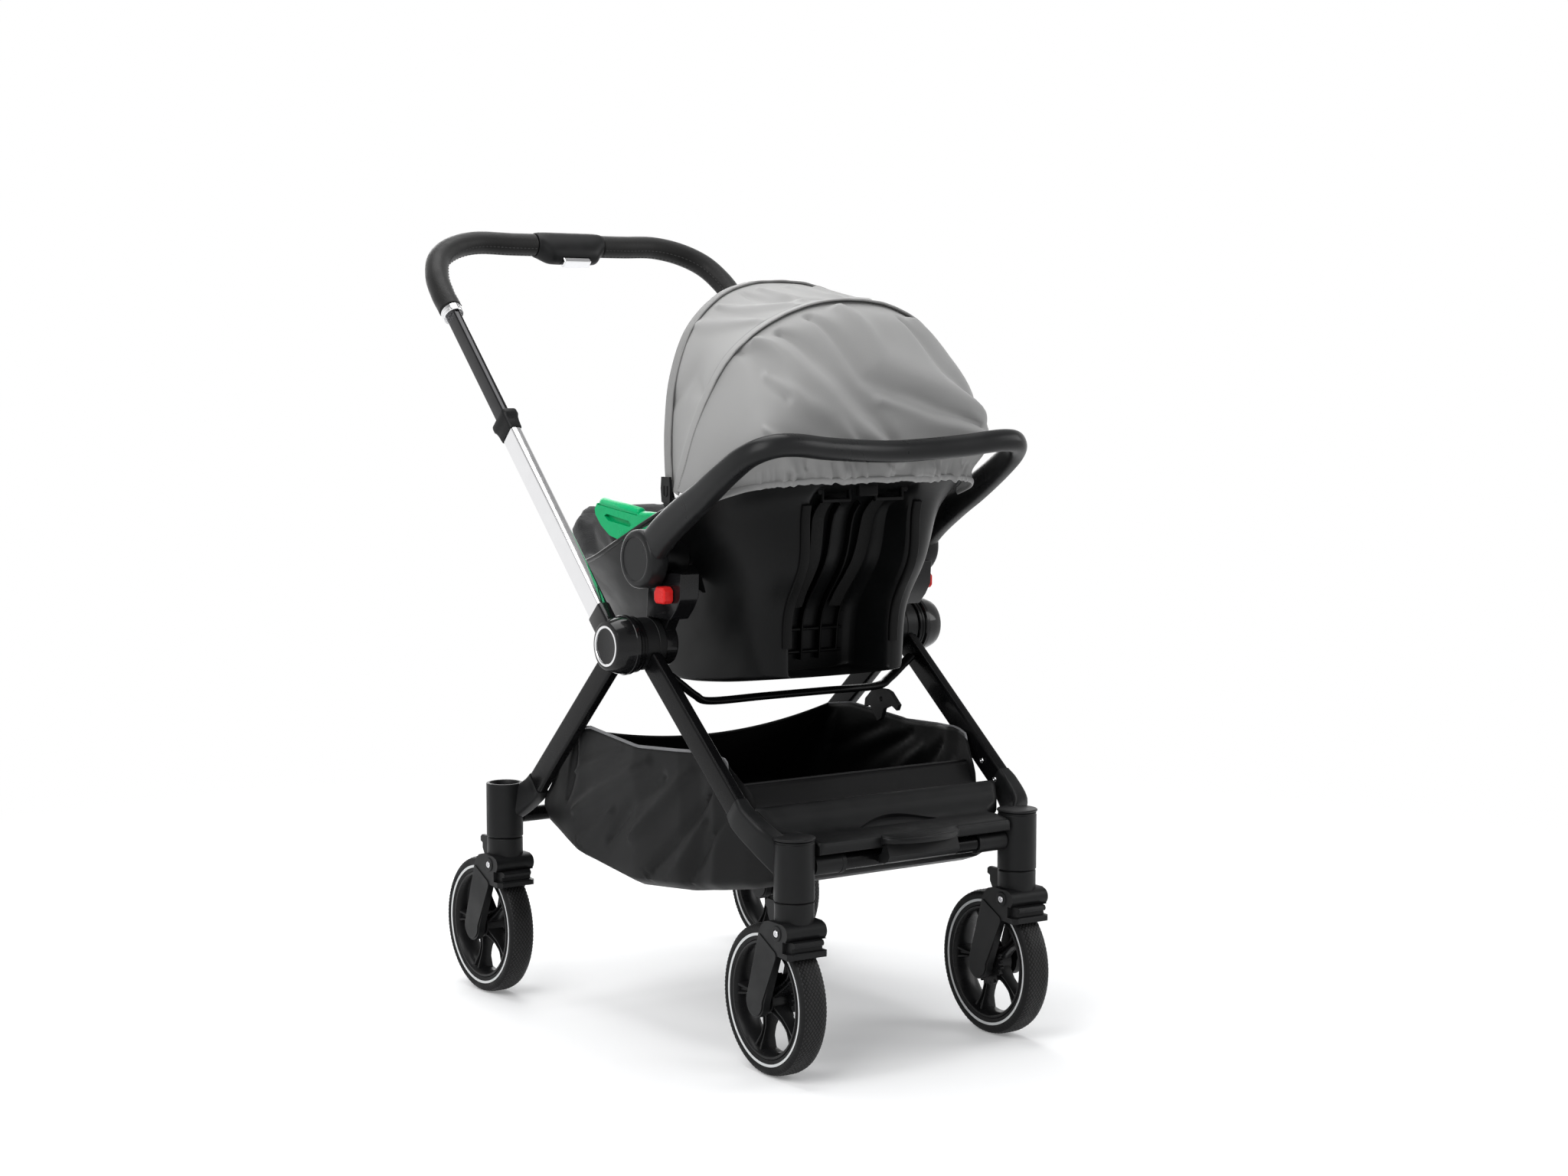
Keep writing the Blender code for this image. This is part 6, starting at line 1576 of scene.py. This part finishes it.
# Basket
# A deep tub of black polyester hung between the legs, with a pale bound edge along its
# sides. The cloth sags in long folds from its hanging points down to the floor panel.
BASKET_W = ((-0.268, 0.15), (-0.235, 0.168), (-0.2, 0.184), (-0.15, 0.201), (-0.125, 0.201), (-0.09, 0.211),
            (0.0, 0.221), (0.085, 0.2185), (0.115, 0.2172), (0.15, 0.2168), (0.165, 0.215), (0.235, 0.203),
            (0.268, 0.199))
BASKET_LOW = ((-0.268, 0.242), (-0.2, 0.222), (-0.099, 0.206), (0.01, 0.198), (0.144, 0.212),
              (0.235, 0.237), (0.268, 0.248))
BASKET_RIM = ((-0.18, 0.351), (-0.172, 0.384), (-0.137, 0.39), (-0.012, 0.384), (0.111, 0.395),
              (0.165, 0.388))
BASKET_ENDS = ((0.0, -0.262, 0.222), (0.06, -0.268, 0.244), (0.14, -0.2589, 0.267), (0.24, -0.2475, 0.266),
               (0.45, -0.2238, 0.243), (0.78, -0.215, 0.203), (1.0, -0.18, 0.165))
BASKET_CLOTH = woven("black_woven_polyester", (0.003, 0.003, 0.0032), (0.007, 0.007, 0.0073), 0.0012, 0.46,
                     0.2, 0.02)
SIDE_STEPS = 96
END_STEPS = 36
LEVELS = 30
CLOTH_ROUND = 1.55
CLOTH_HEIGHT = 0.19
# folds of the side panels: runs of (y, z) points, half width and height
SIDE_FOLDS = ((((-0.03, 0.368), (0.075, 0.32), (0.165, 0.276)), 0.012, 0.0066),
              (((-0.11, 0.365), (-0.053, 0.317), (0.01, 0.262)), 0.01, 0.0062),
              (((-0.15, 0.345), (-0.084, 0.27), (-0.01, 0.203)), 0.0055, -0.006),
              (((-0.168, 0.31), (-0.119, 0.245), (-0.098, 0.21)), 0.005, -0.0056),
              (((-0.13, 0.3), (-0.09, 0.24), (-0.06, 0.212)), 0.009, 0.0052),
              (((0.15, 0.375), (0.172, 0.33), (0.19, 0.29)), 0.008, -0.0052),
              (((-0.06, 0.35), (0.01, 0.305), (0.07, 0.25)), 0.01, -0.0058),
              (((0.03, 0.375), (0.11, 0.345), (0.16, 0.33)), 0.009, 0.0044),
              (((0.06, 0.29), (0.11, 0.255), (0.15, 0.232)), 0.01, 0.0048))


def basket_ring(t):
    """One level of the basket: right side, far end, left side, near end."""
    y0 = table([(a, b) for a, b, c in BASKET_ENDS], t)
    y1 = table([(a, c) for a, b, c in BASKET_ENDS], t)
    narrow = 0.9 + 0.1 * ease(t / 0.06)

    def point(x_share, y):
        share = (y - y0) / (y1 - y0)
        w = table(BASKET_W, y) * narrow
        rim = table(BASKET_RIM, -0.18 + 0.345 * share)
        if share > 0.99:
            rim -= 0.028 * (1 - x_share ** 2)
        low = table(BASKET_LOW, y)
        return Vector((w * x_share, y, low + (rim - low) * t))

    along = [y0 + (y1 - y0) * i / SIDE_STEPS for i in range(SIDE_STEPS)]
    ring = [point(1.0, y) for y in along]
    ring += [point(1.0 - 2.0 * i / END_STEPS, y1) for i in range(END_STEPS)]
    ring += [point(-1.0, y0 + y1 - y) for y in along]
    ring += [point(-1.0 + 2.0 * i / END_STEPS, y0) for i in range(END_STEPS)]
    return ring


levels = [basket_ring(i / LEVELS) for i in range(LEVELS + 1)]
count = len(levels[0])
bm = bmesh.new()
uv = bm.loops.layers.uv.new("UVMap")
rows = []
for i, ring in enumerate(levels):
    t = i / LEVELS
    row = []
    for j, p in enumerate(ring):
        before, after = ring[j - 1], ring[(j + 1) % count]
        tan = (after - before)
        out = Vector((tan.y, -tan.x, 0)).normalized()
        hang = math.sin(math.pi * min(1.0, t * 1.05)) * ease(t * 4) * ease((1 - t) * 5)
        where = Vector((p.y * 9 + p.x * 4, t * 1.6 + p.y * 5, 2.2 if p.x > 0 else 5.5))
        folds = noise.noise(where) * 0.003 + noise.noise(where * 2.3) * 0.0014
        if abs(p.x) > 0.12 and j % (SIDE_STEPS + END_STEPS) < SIDE_STEPS:
            folds += ridges(SIDE_FOLDS, p.y, p.z, (1.0, 1.0))
        elif p.y < 0:
            folds += 0.0022 * math.sin(p.x * 24 + t * 6)
        row.append(bm.verts.new(p + out * (-0.0035 * hang + folds * ease(t * 6) * ease((1 - t) * 6))))
    rows.append(row)
for i in range(LEVELS):
    for j in range(count):
        k = (j + 1) % count
        face = bm.faces.new((rows[i][j], rows[i][k], rows[i + 1][k], rows[i + 1][j]))
        for loop, (a, b) in zip(face.loops, ((j, i), (j + 1, i), (j + 1, i + 1), (j, i + 1))):
            loop[uv].uv = (a / count * CLOTH_ROUND, b / LEVELS * CLOTH_HEIGHT)
low = rows[0]
far = SIDE_STEPS + END_STEPS
for i in range(SIDE_STEPS):
    a, b = low[i], low[i + 1]
    c, d = low[(far + SIDE_STEPS - i - 1) % count], low[(far + SIDE_STEPS - i) % count]
    face = bm.faces.new((d, c, b, a))
    for loop in face.loops:
        loop[uv].uv = (loop.vert.co.x, loop.vert.co.y)
basket_area = sum(f.calc_area() for f in bm.faces)
basket = piece("hanging_basket", bm, BASKET_CLOTH, None, sharp=70)
wall = basket.modifiers.new("thickness", "SOLIDIFY")
wall.thickness = 0.0016
wall.offset = -1
mount(basket, None, "basket")
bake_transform(basket)

PIPING = finish("grey_piping_tape", (0.16, 0.16, 0.165), (0.21, 0.21, 0.215), 0.7, patch=80, grain=2600,
                bump=0.5)
top = levels[-1]
edge = smooth_path(top + top[:1], 1)[:-1]
rings = []
for i, p in enumerate(edge):
    tan = heading(edge, i, True)
    out = Vector((tan.y, -tan.x, 0)).normalized()
    up = out.cross(tan)
    rings.append(laid(oval(0.0016, 0.0021, 12), p, out, up))
bound = [1 if (i < SIDE_STEPS or far <= i < far + SIDE_STEPS) else 0 for i in range(count)]
piping = piece("basket_bound_edge", loft(rings, True, mats=bound), [BASKET_CLOTH, PIPING], None, sharp=60)
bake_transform(piping)
